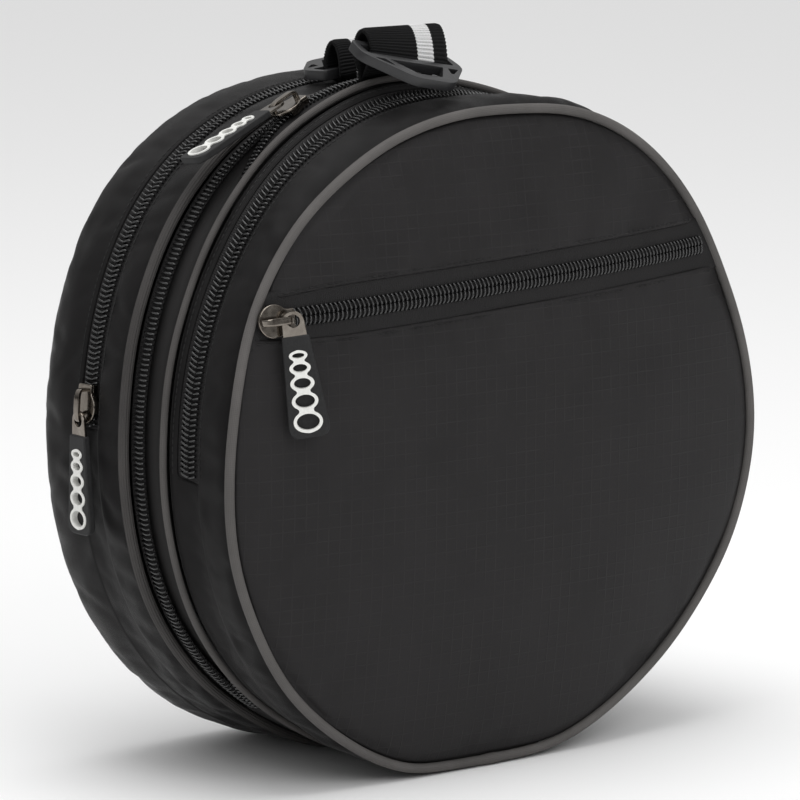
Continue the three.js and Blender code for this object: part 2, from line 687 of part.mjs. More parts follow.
// Moulded rings: a flat trapezoid with a slot for the webbing, a large window and two corner windows
function ringPlate(corners, thick) {
  const shape = new THREE.Shape(corners.map(([x, y]) => new THREE.Vector2(x, y)));
  const geometry = new THREE.ExtrudeGeometry(shape, { depth: thick, bevelEnabled: false });
  geometry.translate(0, 0, -thick / 2);
  return toSolid(geometry);
}

function ringGeometry() {
  const right = RING_EDGE.map(({ x, y }) => [x, y]);
  const left = RING_EDGE.map(({ x, y }) => [-x, y]).reverse();
  const { near, far, half } = RING_SLOT;
  const openings = RING_WINDOWS.map((row) => [
    [row.nearLeft, row.near], [row.nearRight, row.near], [row.farRight, row.far], [row.farLeft, row.far],
  ]);
  openings.push([[-half, near], [half, near], [half, far], [-half, far]]);
  let solid = ringPlate([...right, ...left], RING_THICK);
  for (const corners of openings) {
    solid = solid.subtract(ringPlate(corners, 2 * RING_THICK));
  }
  return toGeometry(solid);
}

LOOPS.forEach((loop, i) => {
  const ring = RING_PLACES[i];
  const outer = toSolid(loopSkin(loop, ring, 0, 0));
  const inner = toSolid(loopSkin(loop, ring, WEBBING.thick, WEBBING.overrun));
  addPiece(`loop_${loop.name}`, toGeometry(outer.subtract(inner)), 'webbing');
  const geometry = ringGeometry();
  geometry.translate(0, -ring.seat, 0);
  geometry.rotateZ(ring.outward < 0 ? Math.PI : 0);
  geometry.rotateX(radians(-ring.outward * ring.pitch));
  geometry.rotateY(radians(ring.roll));
  const wall = loop.y + (ring.outward * (loop.deep - WEBBING.thick)) / 2;
  geometry.translate(ring.x, wall, AXIS_HEIGHT + ring.rise);
  addPiece(`ring_${loop.name}`, geometry, 'plastic');
});

export default bag;
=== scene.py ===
import math

import bpy
import numpy as np
from mathutils import Matrix, Vector


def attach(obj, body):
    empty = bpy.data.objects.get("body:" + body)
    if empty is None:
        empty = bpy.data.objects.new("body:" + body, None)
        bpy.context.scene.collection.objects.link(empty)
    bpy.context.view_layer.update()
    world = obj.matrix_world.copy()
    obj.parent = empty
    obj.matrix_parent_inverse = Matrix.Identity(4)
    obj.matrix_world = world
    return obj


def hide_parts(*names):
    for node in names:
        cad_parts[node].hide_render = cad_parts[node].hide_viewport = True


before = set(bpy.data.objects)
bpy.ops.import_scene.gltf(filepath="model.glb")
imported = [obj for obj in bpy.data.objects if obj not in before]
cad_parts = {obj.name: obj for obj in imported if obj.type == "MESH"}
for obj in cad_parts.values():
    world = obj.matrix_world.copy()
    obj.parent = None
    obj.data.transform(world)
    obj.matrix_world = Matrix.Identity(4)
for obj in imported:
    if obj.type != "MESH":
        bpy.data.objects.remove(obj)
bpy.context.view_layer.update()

# Front side band: black coated nylon over thin foam, sewn to the piping along both edges.
# A zip is let into its top, with the cloth's hems turned under on both sides of the chain.
MM = 0.001
AXIS_HEIGHT = 147.6
FRONT_SEAM, FRONT_ZIP, POCKET_SEAM = -60.0, -32.6, -20.8
MIDDLE_ZIP, BODY_SEAM, REAR_ZIP, BACK_SEAM = -6.3, 7.9, 33.7, 72.5
# The padded shell from front to back: depth, radius, lift of its centre, sag, tuck, slump, shoulder
DEPTH, RADIUS, LIFT, SAG, TUCK, SLUMP, SHOULDER = range(7)
SHELL = np.array([
    (FRONT_SEAM, 148.6, 0.0, -2.0, 0.0, 0.0, 0.0),
    (-52.0, 151.2, 0.6, -5.6, 0.0, 0.3, 0.0),
    (-42.0, 152.0, 1.6, -3.0, 0.0, 1.6, -0.8),
    (FRONT_ZIP, 151.6, 3.0, 3.5, 1.0, 3.4, -2.0),
    (POCKET_SEAM, 155.4, 6.0, 9.5, 4.5, 3.6, -3.2),
    (MIDDLE_ZIP, 155.6, 6.6, 9.5, 4.5, 2.6, -2.4),
    (BODY_SEAM, 154.6, 5.2, 8.0, 4.0, 1.5, 0.0),
    (20.0, 156.0, 5.0, 7.0, 2.0, 0.5, 0.0),
    (REAR_ZIP, 154.4, 5.0, 6.0, 0.0, 0.0, 0.0),
    (52.0, 156.4, 5.4, 5.0, 0.0, 0.0, 0.0),
    (64.5, 154.8, 5.6, 5.0, 0.0, 0.0, 0.0),
    (69.5, 152.0, 5.6, 5.0, 0.0, 0.0, 0.0),
    (BACK_SEAM, 148.4, 5.6, 5.0, 0.0, 0.0, 0.0),
])
MEAN_RADIUS = SHELL[:, RADIUS].mean()
CORNER_EASE = np.array([-2.0, -1.0, 0.0, 1.0, 2.0])
# Soft bumps round the outline: angle in degrees, width in degrees
BUMPS = {SAG: (60, 28), TUCK: (238, 22), SLUMP: (144, 20), SHOULDER: (103, 14)}
BASE_SWELL, BASE_SWELL_HEIGHT = (295, 35), 3.4
# Where the front rim is drawn in (or let out, below 0): its place, and how far
RIM_PULLS = (
    ((128, 20), 3.4), ((86, 12), 1.2), ((22, 12), 1.2), ((350, 20), -1.4), ((190, 13), -1.8),
    ((236, 12), 1.2), ((305, 20), -1.0),
)
RIM_BACK = -50.0
# Slow waves round the outline: lobes, cosine, sine
OUTLINE_WAVES = ((2, 2.7, 1.1), (3, 3.0, 0.3), (4, -0.9, -1.1), (5, 0.6, -1.0))
FLOOR_EASE = 4.0
BAND_STEPS, WHOLE_TURN = 360, (-90, 270)
HEM_HALF, HEM_ROLL, HEM_MIDDLE = 6.2, 0.2, 3.0
HEM_TURN, HEM_END, HEM_EASE = 1.0, 0.6, 2.4
FRONT_ZIP_ARC = (-4.0, 184.0)
CLOTH_THICK = 1.5
# Folds of the side cloth: width along the band, length across it, rise, slant, and their fade at seams
FOLD_WIDTH, FOLD_LENGTH, FOLD_RISE, FOLD_SLANT = (3.4, 7.5), (5.0, 13.0), (-0.66, 0.54), 0.45
FOLD_SEWN, FOLD_FREE, FOLD_FADE, FOLD_LAST = 1.0, 3.5, 40.0, 0.1
SETTLE_QUALITY, SETTLE_MASS, SETTLE_FRAMES = 6, 0.2, 20
SIDE_SETTLE = {"growth": 0.012, "pressure": 1.0, "cap": 0.6, "stiffness": 0.8}
HEM_SEWN = 2.6
WAVE_TURN = math.pi / 10


def shell_column(depth, column):
    """A column of the shell's table at a depth, its corners eased as the padding eases them."""
    rows = [np.interp(depth + ease, SHELL[:, DEPTH], SHELL[:, column]) for ease in CORNER_EASE]
    return np.mean(rows, axis=0)


def off_angle(angle, place):
    """Degrees round the bag from a place, from -180 to 180."""
    return (np.degrees(angle) - place + 180) % 360 - 180


def bump(angle, place):
    middle, width = place
    return np.exp(-(off_angle(angle, middle) / width) ** 2)


def shell_reach(angle, depth):
    reach = shell_column(depth, RADIUS) + BASE_SWELL_HEIGHT * bump(angle, BASE_SWELL)
    for column, place in BUMPS.items():
        reach -= shell_column(depth, column) * bump(angle, place)
    for lobes, cosine, sine in OUTLINE_WAVES:
        reach += cosine * np.cos(lobes * angle) + sine * np.sin(lobes * angle)
    at_rim = np.clip((RIM_BACK - depth) / (RIM_BACK - FRONT_SEAM), 0, 1)
    for place, pull in RIM_PULLS:
        reach -= pull * at_rim * bump(angle, place)
    return reach


def on_shell(angle, depth, height, floor=0.0):
    """Points height off the shell's cloth in millimetres, eased flat where the bag stands."""
    angle, depth, height = np.broadcast_arrays(*(np.asarray(v, float) for v in (angle, depth, height)))
    reach = shell_reach(angle, depth) + height
    z = AXIS_HEIGHT + shell_column(depth, LIFT) + reach * np.sin(angle)
    over = z - np.maximum(-height, floor)
    z = z - over + (over + np.sqrt(over ** 2 + FLOOR_EASE ** 2)) / 2
    return np.stack([reach * np.cos(angle), depth, z], -1)


def read_points(piece):
    points = np.empty(len(piece.data.vertices) * 3, np.float32)
    piece.data.vertices.foreach_get("co", points)
    return points.reshape(-1, 3).astype(float)


def write_points(piece, points):
    piece.data.vertices.foreach_set("co", np.asarray(points, np.float32).ravel())
    piece.data.update()


def read_faces(piece, what):
    values = np.empty(len(piece.data.polygons) * 3, np.float32)
    piece.data.polygons.foreach_get(what, values)
    return values.reshape(-1, 3)


def edit(piece, *steps):
    """Runs edit-mode operators on a piece that is the active object."""
    bpy.context.view_layer.objects.active = piece
    bpy.ops.object.mode_set(mode="EDIT")
    for operator, settings in steps:
        operator(**settings)
    bpy.ops.object.mode_set(mode="OBJECT")


SELECT_ALL = (bpy.ops.mesh.select_all, {"action": "SELECT"})


def merge_within(gap):
    return bpy.ops.mesh.remove_doubles, {"threshold": gap}


def shape_with(piece, kind, **settings):
    """Adds a modifier with its settings and applies it."""
    bpy.context.view_layer.objects.active = piece
    modifier = piece.modifiers.new(kind.lower(), kind)
    for name, value in settings.items():
        setattr(modifier, name, value)
    bpy.ops.object.modifier_apply(modifier=modifier.name)


def smooth_all(piece):
    piece.data.polygons.foreach_set("use_smooth", np.ones(len(piece.data.polygons), bool))


def start_piece(name, primitive, **sizes):
    """A primitive to be shaped, with nothing else selected."""
    bpy.ops.object.select_all(action="DESELECT")
    primitive(**sizes)
    piece = bpy.context.object
    piece.name = piece.data.name = name
    return piece


def add_cloth_grid(name, along, across):
    """A flat grid to be laid on the bag, with its cut lying in the unit square of its UV map."""
    grid = bpy.ops.mesh.primitive_grid_add
    piece = start_piece(name, grid, x_subdivisions=along, y_subdivisions=across, size=1)
    flat = read_points(piece)
    return piece, flat[:, 0] + 0.5, flat[:, 1] + 0.5


def measure_cloth(piece, width_at, length_at):
    """Turns the unit square of the UV map into metres of cloth."""
    layer = piece.data.uv_layers.active.data
    uv = np.empty(len(layer) * 2, np.float32)
    layer.foreach_get("uv", uv)
    uv = uv.reshape(-1, 2)
    uv = np.stack([width_at(uv[:, 0]), length_at(uv[:, 1])], -1) * MM
    layer.foreach_set("uv", uv.astype(np.float32).ravel())


def face_out(piece, outward):
    """Turns the cloth's faces the way that outward(points) says."""
    if (read_faces(piece, "normal") * outward(read_faces(piece, "center"))).sum() < 0:
        edit(piece, SELECT_ALL, (bpy.ops.mesh.flip_normals, {}))


def from_axis(points):
    return (points - np.array([0, 0, AXIS_HEIGHT * MM])) * np.array([1, 0, 1])


def hem_rows(zip_depth):
    """Rows of cloth at a zip: depth, height off the shell, and 1 where a hem is turned under."""
    fore, aft = zip_depth - HEM_HALF, zip_depth + HEM_HALF
    return [
        (fore - HEM_ROLL, 0.1, 0.35), (fore, 0, 1), (zip_depth - HEM_MIDDLE, 0), (zip_depth, 0),
        (zip_depth + HEM_MIDDLE, 0), (aft, 0, 1), (aft + HEM_ROLL, 0.1, 0.35),
    ]


def add_band(name, rows, arc, steps, zip_arc=None, zip_depth=None):
    """A band of cloth laid on the shell between two angles, with a window where a zip is let in."""
    piece, share, row = add_cloth_grid(name, steps, len(rows) - 1)
    table = np.array([(*each, 0)[:3] for each in rows], float)
    row = np.rint(row * (len(rows) - 1)).astype(int)
    angle = np.radians(arc[0] + share * (arc[1] - arc[0]))
    height = table[row, 1].copy()
    if zip_arc:
        middle, half = sum(zip_arc) / 2, (zip_arc[1] - zip_arc[0]) / 2
        beyond = np.abs(off_angle(angle, middle)) - half
        within = np.abs(table[row, 0] - zip_depth) < HEM_HALF
        turned = np.where(within, HEM_END, table[row, 2])
        height -= HEM_TURN * turned * np.clip(1 - beyond / HEM_EASE, 0, 1)
    write_points(piece, on_shell(angle, table[row, 0], height) * MM)
    round_the_bag = math.radians(arc[1] - arc[0]) * MEAN_RADIUS
    lines = np.arange(len(rows)) / (len(rows) - 1)
    measure_cloth(piece, lambda u: u * round_the_bag, lambda v: np.interp(v, lines, table[:, 0]))
    if zip_arc:
        cut_window(piece, zip_arc, zip_depth)
    if arc[1] - arc[0] >= 360:
        edit(piece, SELECT_ALL, merge_within(0.01 * MM))
    face_out(piece, from_axis)
    return piece


def cut_window(piece, zip_arc, zip_depth):
    """Takes out the cloth where a zip lies, between its hems."""
    x, y, z = read_faces(piece, "center").T / MM
    angle = np.arctan2(z - AXIS_HEIGHT - shell_column(y, LIFT), x)
    angle = np.degrees((angle - math.radians(zip_arc[0])) % (2 * math.pi))
    inside = (np.abs(y - zip_depth) < HEM_HALF) & (angle < zip_arc[1] - zip_arc[0])
    bpy.context.tool_settings.mesh_select_mode = (False, False, True)
    piece.data.polygons.foreach_set("select", inside)
    edit(piece, (bpy.ops.mesh.delete, {"type": "FACE"}))
    bpy.context.tool_settings.mesh_select_mode = (True, False, False)


def settle_cloth(piece, sewn, growth, pressure, cap, stiffness):
    """Lets the cloth swell and crease between its sewn lines, and caps how far it may move."""
    laid = read_points(piece)
    group = piece.vertex_groups.new(name="sewn")
    group.add([int(i) for i in np.flatnonzero(sewn)], 1.0, "REPLACE")
    cloth = piece.modifiers.new("settle", "CLOTH")
    cloth.settings.vertex_group_mass = "sewn"
    cloth.settings.quality = SETTLE_QUALITY
    cloth.settings.mass = SETTLE_MASS
    cloth.settings.bending_stiffness = stiffness
    cloth.settings.use_pressure = True
    cloth.settings.uniform_pressure_force = pressure
    cloth.settings.shrink_min = -growth
    cloth.settings.effector_weights.gravity = 0
    for step in range(SETTLE_FRAMES):
        bpy.context.scene.frame_set(step + 1)
    bpy.context.view_layer.objects.active = piece
    bpy.ops.object.modifier_apply(modifier=cloth.name)
    bpy.context.scene.frame_set(1)
    piece.vertex_groups.clear()
    moved = read_points(piece) - laid
    length = np.linalg.norm(moved, axis=1, keepdims=True) + 1e-12
    write_points(piece, laid + moved / length * cap * MM * np.tanh(length / (cap * MM)))


def add_folds(piece, count, sewn_lines, seed):
    """Presses short soft folds across a band, dying out at its sewn lines."""
    pick = np.random.default_rng(seed)
    points = read_points(piece)
    outward = from_axis(points)
    outward /= np.linalg.norm(outward, axis=1, keepdims=True)
    angle, depth = np.arctan2(outward[:, 2], outward[:, 0]), points[:, 1] / MM
    lift = np.zeros(len(points))
    for _ in range(count):
        turned = (angle - pick.uniform(0, 2 * math.pi) + math.pi) % (2 * math.pi) - math.pi
        beside = depth - pick.uniform(min(sewn_lines), max(sewn_lines))
        along = turned * MEAN_RADIUS - pick.normal(0, FOLD_SLANT) * beside
        width, length = pick.uniform(*FOLD_WIDTH), pick.uniform(*FOLD_LENGTH)
        lift += pick.uniform(*FOLD_RISE) * np.exp(-(along / width) ** 2 - (beside / length) ** 2)
    free = np.min([np.abs(depth - line) for line in sewn_lines], axis=0)
    lift *= np.clip((free - FOLD_SEWN) / FOLD_FREE, 0, 1)
    lift *= np.interp(depth, (FOLD_FADE, BACK_SEAM), (1.0, FOLD_LAST))
    write_points(piece, points + outward * lift[:, None] * MM)


def thicken(piece, thick, rounds=1):
    """Smooths the settled cloth and gives it its thickness, inwards."""
    if rounds:
        shape_with(piece, "SUBSURF", levels=rounds, render_levels=rounds)
    shape_with(piece, "SOLIDIFY", thickness=thick * MM, offset=-1)
    smooth_all(piece)


def near_rows(piece, depths, within):
    depth = read_points(piece)[:, 1] / MM
    return np.min([np.abs(depth - d) for d in depths], axis=0) < within


def add_side_band(name, rows, zip_arc, zip_depth, seams, edges, edge_sewn, folds, seed):
    """A whole band of side cloth, folded and settled between its seams and its zip's hems."""
    band = add_band(name, rows, WHOLE_TURN, BAND_STEPS, zip_arc, zip_depth)
    hems = (zip_depth - HEM_HALF, zip_depth + HEM_HALF)
    add_folds(band, folds, (*seams, *hems), seed)
    sewn = near_rows(band, edges, edge_sewn) | near_rows(band, hems, HEM_SEWN)
    settle_cloth(band, sewn, **SIDE_SETTLE)
    thicken(band, CLOTH_THICK)
    return band


def plug(tree, socket, value):
    """Sets an input to a value, or links it to the socket that feeds it."""
    if isinstance(value, bpy.types.NodeSocket):
        tree.links.new(value, socket)
    else:
        socket.default_value = value


def feed(tree, node, **inputs):
    for name, value in inputs.items():
        plug(tree, node.inputs[name.replace("_", " ")], value)


def add_node(tree, kind, settings=(), **inputs):
    made = tree.nodes.new(kind)
    for name, value in dict(settings).items():
        setattr(made, name, value)
    feed(tree, made, **inputs)
    return made


def work_out(tree, operation, *values):
    """One step of arithmetic on numbers or sockets."""
    made = add_node(tree, "ShaderNodeMath", {"operation": operation})
    for socket, value in zip(made.inputs, values):
        plug(tree, socket, value)
    return made.outputs[0]


def new_finish(name, **values):
    """A material with its principled shader's constants set on its sockets."""
    material = bpy.data.materials.new(name)
    material.use_nodes = True
    shader = material.node_tree.nodes["Principled BSDF"]
    feed(material.node_tree, shader, **values)
    return material, material.node_tree, shader


def coords(tree, kind):
    return add_node(tree, "ShaderNodeTexCoord").outputs[kind]


def clouds(tree, vector, scale, detail, roughness=0.5):
    """Cloudy noise, from 0 to 1."""
    size = {"Scale": scale, "Detail": detail, "Roughness": roughness}
    return add_node(tree, "ShaderNodeTexNoise", Vector=vector, **size).outputs["Fac"]


def draw_out(tree, value, reach, onto=(0.0, 1.0)):
    """A value drawn out from the reach it has onto another."""
    ends = {"From_Min": reach[0], "From_Max": reach[1], "To_Min": onto[0], "To_Max": onto[1]}
    return add_node(tree, "ShaderNodeMapRange", Value=value, **ends).outputs["Result"]


def two_tones(tree, value, *stops):
    """A colour between two stops, each a value and its colour."""
    ramp = add_node(tree, "ShaderNodeValToRGB", Fac=value)
    for element, (position, colour) in zip(ramp.color_ramp.elements, stops):
        element.position, element.color = position, (*colour, 1)
    return ramp.outputs["Color"]


def relief(tree, height, strength, deep):
    bumps = add_node(tree, "ShaderNodeBump", Strength=strength, Distance=deep * MM, Height=height)
    return bumps.outputs["Normal"]


def bands(tree, vector, direction, pitch):
    """Rounded bands a pitch apart, as a height from 0 to 1."""
    settings = {"wave_type": "BANDS", "bands_direction": direction}
    wave = add_node(tree, "ShaderNodeTexWave", settings, Vector=vector, Scale=WAVE_TURN / pitch)
    return wave.outputs["Fac"]


def threads(tree, vector, pitch):
    """Crossing threads of a plain weave, as a height from 0 to 1."""
    return work_out(tree, "MAXIMUM", bands(tree, vector, "X", pitch), bands(tree, vector, "Y", pitch))


def cloth_finish(name, dark, light, thread, roughness, ripstop=0.0, ribs=0.0, sheen=0.0, shine=0.17):
    """Woven cloth: threads, a raised ripstop grid or cross ribs, and slow drifts of tone and gloss."""
    material, tree, shader = new_finish(
        name, Specular_IOR_Level=shine, Sheen_Weight=sheen, Sheen_Roughness=0.35,
    )
    cut, place = coords(tree, "UV"), coords(tree, "Object")
    weave = threads(tree, cut, thread * MM)
    drift = clouds(tree, place, 22.0, 4.0, 0.6)
    tone = work_out(tree, "MULTIPLY_ADD", weave, 0.3, drift)
    height = work_out(tree, "MULTIPLY_ADD", clouds(tree, place, 900.0, 2.0), 0.35, weave)
    if ripstop:
        grid = add_node(
            tree, "ShaderNodeTexBrick", {"offset": 0.0, "squash": 1.0}, Vector=cut,
            Scale=1 / (ripstop * MM), Mortar_Size=0.06, Mortar_Smooth=0.5, Brick_Width=1.0, Row_Height=1.0,
        )
        patchy = draw_out(tree, clouds(tree, cut, 55.0, 2.0), (0.35, 0.65))
        shown = work_out(tree, "MULTIPLY", grid.outputs["Fac"], patchy)
        tone = work_out(tree, "MULTIPLY_ADD", shown, 0.42, tone)
        height = work_out(tree, "MULTIPLY_ADD", shown, 2.4, height)
    if ribs:
        height = work_out(tree, "MULTIPLY_ADD", bands(tree, cut, "X", ribs * MM), 1.6, height)
    feed(
        tree, shader, Base_Color=two_tones(tree, tone, (0.3, dark), (1.0, light)),
        Roughness=draw_out(tree, drift, (0.3, 0.7), (roughness - 0.06, roughness + 0.06)),
        Normal=relief(tree, height, 0.5, 0.15),
    )
    return material


def sew_in(piece, finish, slot, *nodes):
    """Gives a piece its finish and its place on the bag."""
    piece.data.materials.clear()
    piece.data.materials.append(finish)
    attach(piece, "root")
    if nodes:
        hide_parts(*nodes)


# Rows of the front band: depth, and height off the shell
FRONT_ROWS = [
    (-59.4, -2.8), (-58.4, -2.1), (-57.0, -1.2), (-54.6, -0.3), (-51.6, 0.2), (-48.6, 0.2), (-45.6, 0.2),
    (-43.0, 0.2), (-41.0, 0.3), (-39.6, 0.3), *hem_rows(FRONT_ZIP), (-25.2, 0.3), (-24.0, 0.2),
    (-22.8, -0.3), (-21.8, -1.3), (-21.2, -2.4),
]
FRONT_SEAMS = (FRONT_SEAM, POCKET_SEAM)
side_nylon = cloth_finish(
    "side_nylon", (0.0032, 0.0030, 0.0030), (0.0128, 0.0121, 0.0124), 0.5, 0.4, sheen=0.05, shine=0.1,
)
front_band = add_side_band(
    "front_band", FRONT_ROWS, FRONT_ZIP_ARC, FRONT_ZIP, seams=FRONT_SEAMS, edges=FRONT_SEAMS,
    edge_sewn=2.0, folds=420, seed=3,
)
sew_in(front_band, side_nylon, "side_cloth", "front_gusset")

# Rear side band: the same nylon round the deep rear compartment, with its own zip over the top.
# Its back edge rolls in to the seam that closes the back panel.
REAR_ZIP_ARC = (2.0, 179.0)
REAR_ROWS = [
    (8.4, -2.4), (9.2, -1.2), (10.4, -0.3), (12.6, 0.1), (15.4, 0.2), (18.2, 0.2), (21.0, 0.2),
    (23.6, 0.3), (25.6, 0.3), (26.8, 0.3), *hem_rows(REAR_ZIP), (40.8, 0.3), (42.4, 0.3), (45.0, 0.2),
    (48.0, 0.2), (51.0, 0.2), (54.0, 0.2), (57.0, 0.2), (60.0, 0.2), (63.0, 0.2), (66.0, 0.1), (68.6, 0),
    (70.8, -0.2), (72.4, -0.8), (73.4, -2.0), (73.8, -3.2),
]
BACK_EDGE = BACK_SEAM + 1.0
rear_band = add_side_band(
    "rear_band", REAR_ROWS, REAR_ZIP_ARC, REAR_ZIP, seams=(BODY_SEAM, BACK_SEAM),
    edges=(BODY_SEAM, BACK_EDGE), edge_sewn=1.6, folds=620, seed=5,
)
sew_in(rear_band, side_nylon, "side_cloth", "rear_gusset")

# Middle base: a short plain strip of the side nylon under the bag, between the ends of the
# middle zip. It is sewn into the two seams beside it.
MIDDLE_BASE_ARC, MIDDLE_BASE_STEPS = (234.3, 305.7), 64
MIDDLE_BASE_ROWS = [
    (-20.2, -2.4), (-19.4, -1.2), (-18.0, -0.3), (-14.0, 0), (-10.0, 0), (-6.0, 0), (-2.0, 0), (2.0, 0),
    (5.2, -0.3), (6.4, -1.2), (7.3, -2.4),
]
middle_base = add_band("middle_base_strip", MIDDLE_BASE_ROWS, MIDDLE_BASE_ARC, MIDDLE_BASE_STEPS)
thicken(middle_base, CLOTH_THICK)
sew_in(middle_base, side_nylon, "side_cloth", "middle_base")

# Front panel: one round of fine ripstop nylon, slightly domed over its foam and parted by the
# pocket zip. Its two edges are folded under beside the zip and its rim is sewn in with the piping.
FRONT_DOME, DOME_POWER = 12.0, 2.6
PANEL_INSET, PANEL_HALF_WALL, PANEL_FLOOR = 1.1, 1.5, 4.7
PANEL_STEPS = 84
RIM_DIP, RIM_WIDTH, RIM_SEWN = 1.6, 0.03, 0.985
# Dents in the foam: how many, how deep, width, length, how far from the middle, and their fade at the rim
DENT_COUNT, DENT_DEEP = 130, 0.32
DENT_WIDTH, DENT_LENGTH, DENT_REACH, DENT_RIM = (8, 18), (14, 42), (-140, 140), 0.06
POCKET_RISE, POCKET_TILT = 70.0, math.radians(3)
POCKET_HEM, HEM_CLOSE, HEM_TAPER = 10.6, 3.2, (80.0, 134.0)
# The folded edges: rows of points beside the fold, how far it draws the cloth and how wide it is sewn,
# its turn under and its swell
EDGE_ROWS, EDGE_DRAW, EDGE_SEWN = (0.5, 1.4), 16.0, 1.0
EDGE_TURN, EDGE_TURN_WIDTH = 1.0, 0.6
EDGE_SWELL, EDGE_SWELL_AT, EDGE_SWELL_WIDTH = 0.35, 1.4, 1.6
RIPSTOP = 5.7
PANEL_SETTLE = {"growth": 0.008, "pressure": 1.0, "cap": 1.2, "stiffness": 6.0}
FRONT_OUT, FRONT_DENT_SEED = -1, 11


def panel_edge(angle, seam):
    """The panel's rim: where it meets the shell's seam, clear of the piping on the floor."""
    return on_shell(angle, seam, -PANEL_INSET, PANEL_FLOOR)


def dome(x, z, seam, rise):
    """How far the panel stands out, from 0 at its rim, and the share of the way out to the rim."""
    rim = panel_edge(np.arctan2(z - AXIS_HEIGHT, x), seam)
    share = np.hypot(x, z - AXIS_HEIGHT) / np.hypot(rim[..., 0], rim[..., 2] - AXIS_HEIGHT)
    return rise * (1 - np.minimum(share, 1) ** DOME_POWER), share


def add_panel(name, seam, rise, outward):
    """A round panel: a square grid eased out to the rim, so that its threads run straight."""
    piece, u, v = add_cloth_grid(name, PANEL_STEPS, PANEL_STEPS)
    u, v = 2 * u - 1, 2 * v - 1
    round_u, round_v = u * np.sqrt(1 - v ** 2 / 2), v * np.sqrt(1 - u ** 2 / 2)
    share = np.hypot(round_u, round_v)
    rim = panel_edge(np.arctan2(round_v, round_u), seam)
    x, z = share * rim[:, 0], AXIS_HEIGHT + share * (rim[:, 2] - AXIS_HEIGHT)
    out = rise * (1 - share ** DOME_POWER) + PANEL_HALF_WALL
    out -= RIM_DIP * np.exp(-((1 - share) / RIM_WIDTH) ** 2)
    write_points(piece, np.stack([x, seam + outward * out, z], -1) * MM)
    lay_flat(piece)
    face_out(piece, lambda points: np.array([0, outward, 0]))
    return piece


def lay_flat(piece):
    """Lays the cut out flat as it is seen from the front."""
    corner = np.empty(len(piece.data.loops), np.int32)
    piece.data.loops.foreach_get("vertex_index", corner)
    uv = read_points(piece)[corner][:, [0, 2]]
    piece.data.uv_layers.active.data.foreach_set("uv", uv.astype(np.float32).ravel())


def across_pocket(points):
    """Millimetres above the slanted line of the pocket zip."""
    x, z = points[:, 0] / MM, points[:, 2] / MM - AXIS_HEIGHT - POCKET_RISE
    return z * math.cos(POCKET_TILT) - x * math.sin(POCKET_TILT)


def hem_at(along):
    """Half the gap between the panel's folded edges, closing in towards the slider."""
    share = np.clip((-along - HEM_TAPER[0]) / (HEM_TAPER[1] - HEM_TAPER[0]), 0, 1)
    return POCKET_HEM - HEM_CLOSE * share ** 2


def trim_to_zip(piece, side):
    """Cuts the panel along the pocket zip and folds the edge under."""
    slope = Vector((-math.sin(POCKET_TILT), 0, math.cos(POCKET_TILT)))
    edge = Vector((0, 0, AXIS_HEIGHT + POCKET_RISE)) * MM + slope * side * POCKET_HEM * MM
    trim = {"plane_co": edge, "plane_no": slope, "clear_inner": side > 0, "clear_outer": side < 0}
    steps = [SELECT_ALL, (bpy.ops.mesh.bisect, trim)]
    for inset in EDGE_ROWS:
        row = {"plane_co": edge + slope * side * inset * MM, "plane_no": slope}
        steps += [SELECT_ALL, (bpy.ops.mesh.bisect, row)]
    edit(piece, *steps)
    points = read_points(piece)
    inside = side * across_pocket(points) - POCKET_HEM
    drawn = (POCKET_HEM - hem_at(points[:, 0] / MM)) * np.exp(-(inside / EDGE_DRAW) ** 2)
    points[:, 2] -= side * drawn * MM
    points[:, 1] += EDGE_TURN * MM * np.clip(1 - inside / EDGE_TURN_WIDTH, 0, 1)
    points[:, 1] -= EDGE_SWELL * MM * np.exp(-((inside - EDGE_SWELL_AT) / EDGE_SWELL_WIDTH) ** 2)
    write_points(piece, points)
    lay_flat(piece)


def rim_share(piece, seam):
    points = read_points(piece) / MM
    return dome(points[:, 0], points[:, 2], seam, 0)[1]


def add_dents(piece, seam, outward, seed):
    """Slow shallow dents where the foam gives under the cloth, none at the rim."""
    pick = np.random.default_rng(seed)
    points = read_points(piece)
    x, z = points[:, 0] / MM, points[:, 2] / MM - AXIS_HEIGHT
    lift = np.zeros(len(points))
    for _ in range(DENT_COUNT):
        turn, width, length = pick.uniform(0, math.pi), pick.uniform(*DENT_WIDTH), pick.uniform(*DENT_LENGTH)
        off_x, off_z = x - pick.uniform(*DENT_REACH), z - pick.uniform(*DENT_REACH)
        along = off_x * math.cos(turn) + off_z * math.sin(turn)
        beside = off_z * math.cos(turn) - off_x * math.sin(turn)
        lift += pick.uniform(-DENT_DEEP, DENT_DEEP) * np.exp(-(along / length) ** 2 - (beside / width) ** 2)
    lift *= np.clip((1 - rim_share(piece, seam)) / DENT_RIM, 0, 1)
    points[:, 1] += outward * lift * MM
    write_points(piece, points)


ripstop_nylon = cloth_finish(
    "ripstop_nylon", (0.0102, 0.0095, 0.0098), (0.0212, 0.0199, 0.0205), 0.42, 0.52, RIPSTOP,
)
for panel_name, panel_side, panel_flat, panel_area in (
    ("upper", 1, (0.30, 0.066), 0.0115), ("lower", -1, (0.30, 0.205), 0.0525),
):
    front_panel = add_panel(f"front_{panel_name}_cloth", FRONT_SEAM, FRONT_DOME, FRONT_OUT)
    add_dents(front_panel, FRONT_SEAM, FRONT_OUT, FRONT_DENT_SEED)
    trim_to_zip(front_panel, panel_side)
    sewn = rim_share(front_panel, FRONT_SEAM) > RIM_SEWN
    sewn |= panel_side * across_pocket(read_points(front_panel)) < POCKET_HEM + EDGE_SEWN
    settle_cloth(front_panel, sewn, **PANEL_SETTLE)
    thicken(front_panel, CLOTH_THICK)
    sew_in(front_panel, ripstop_nylon, "panel_cloth", f"front_panel_{panel_name}")

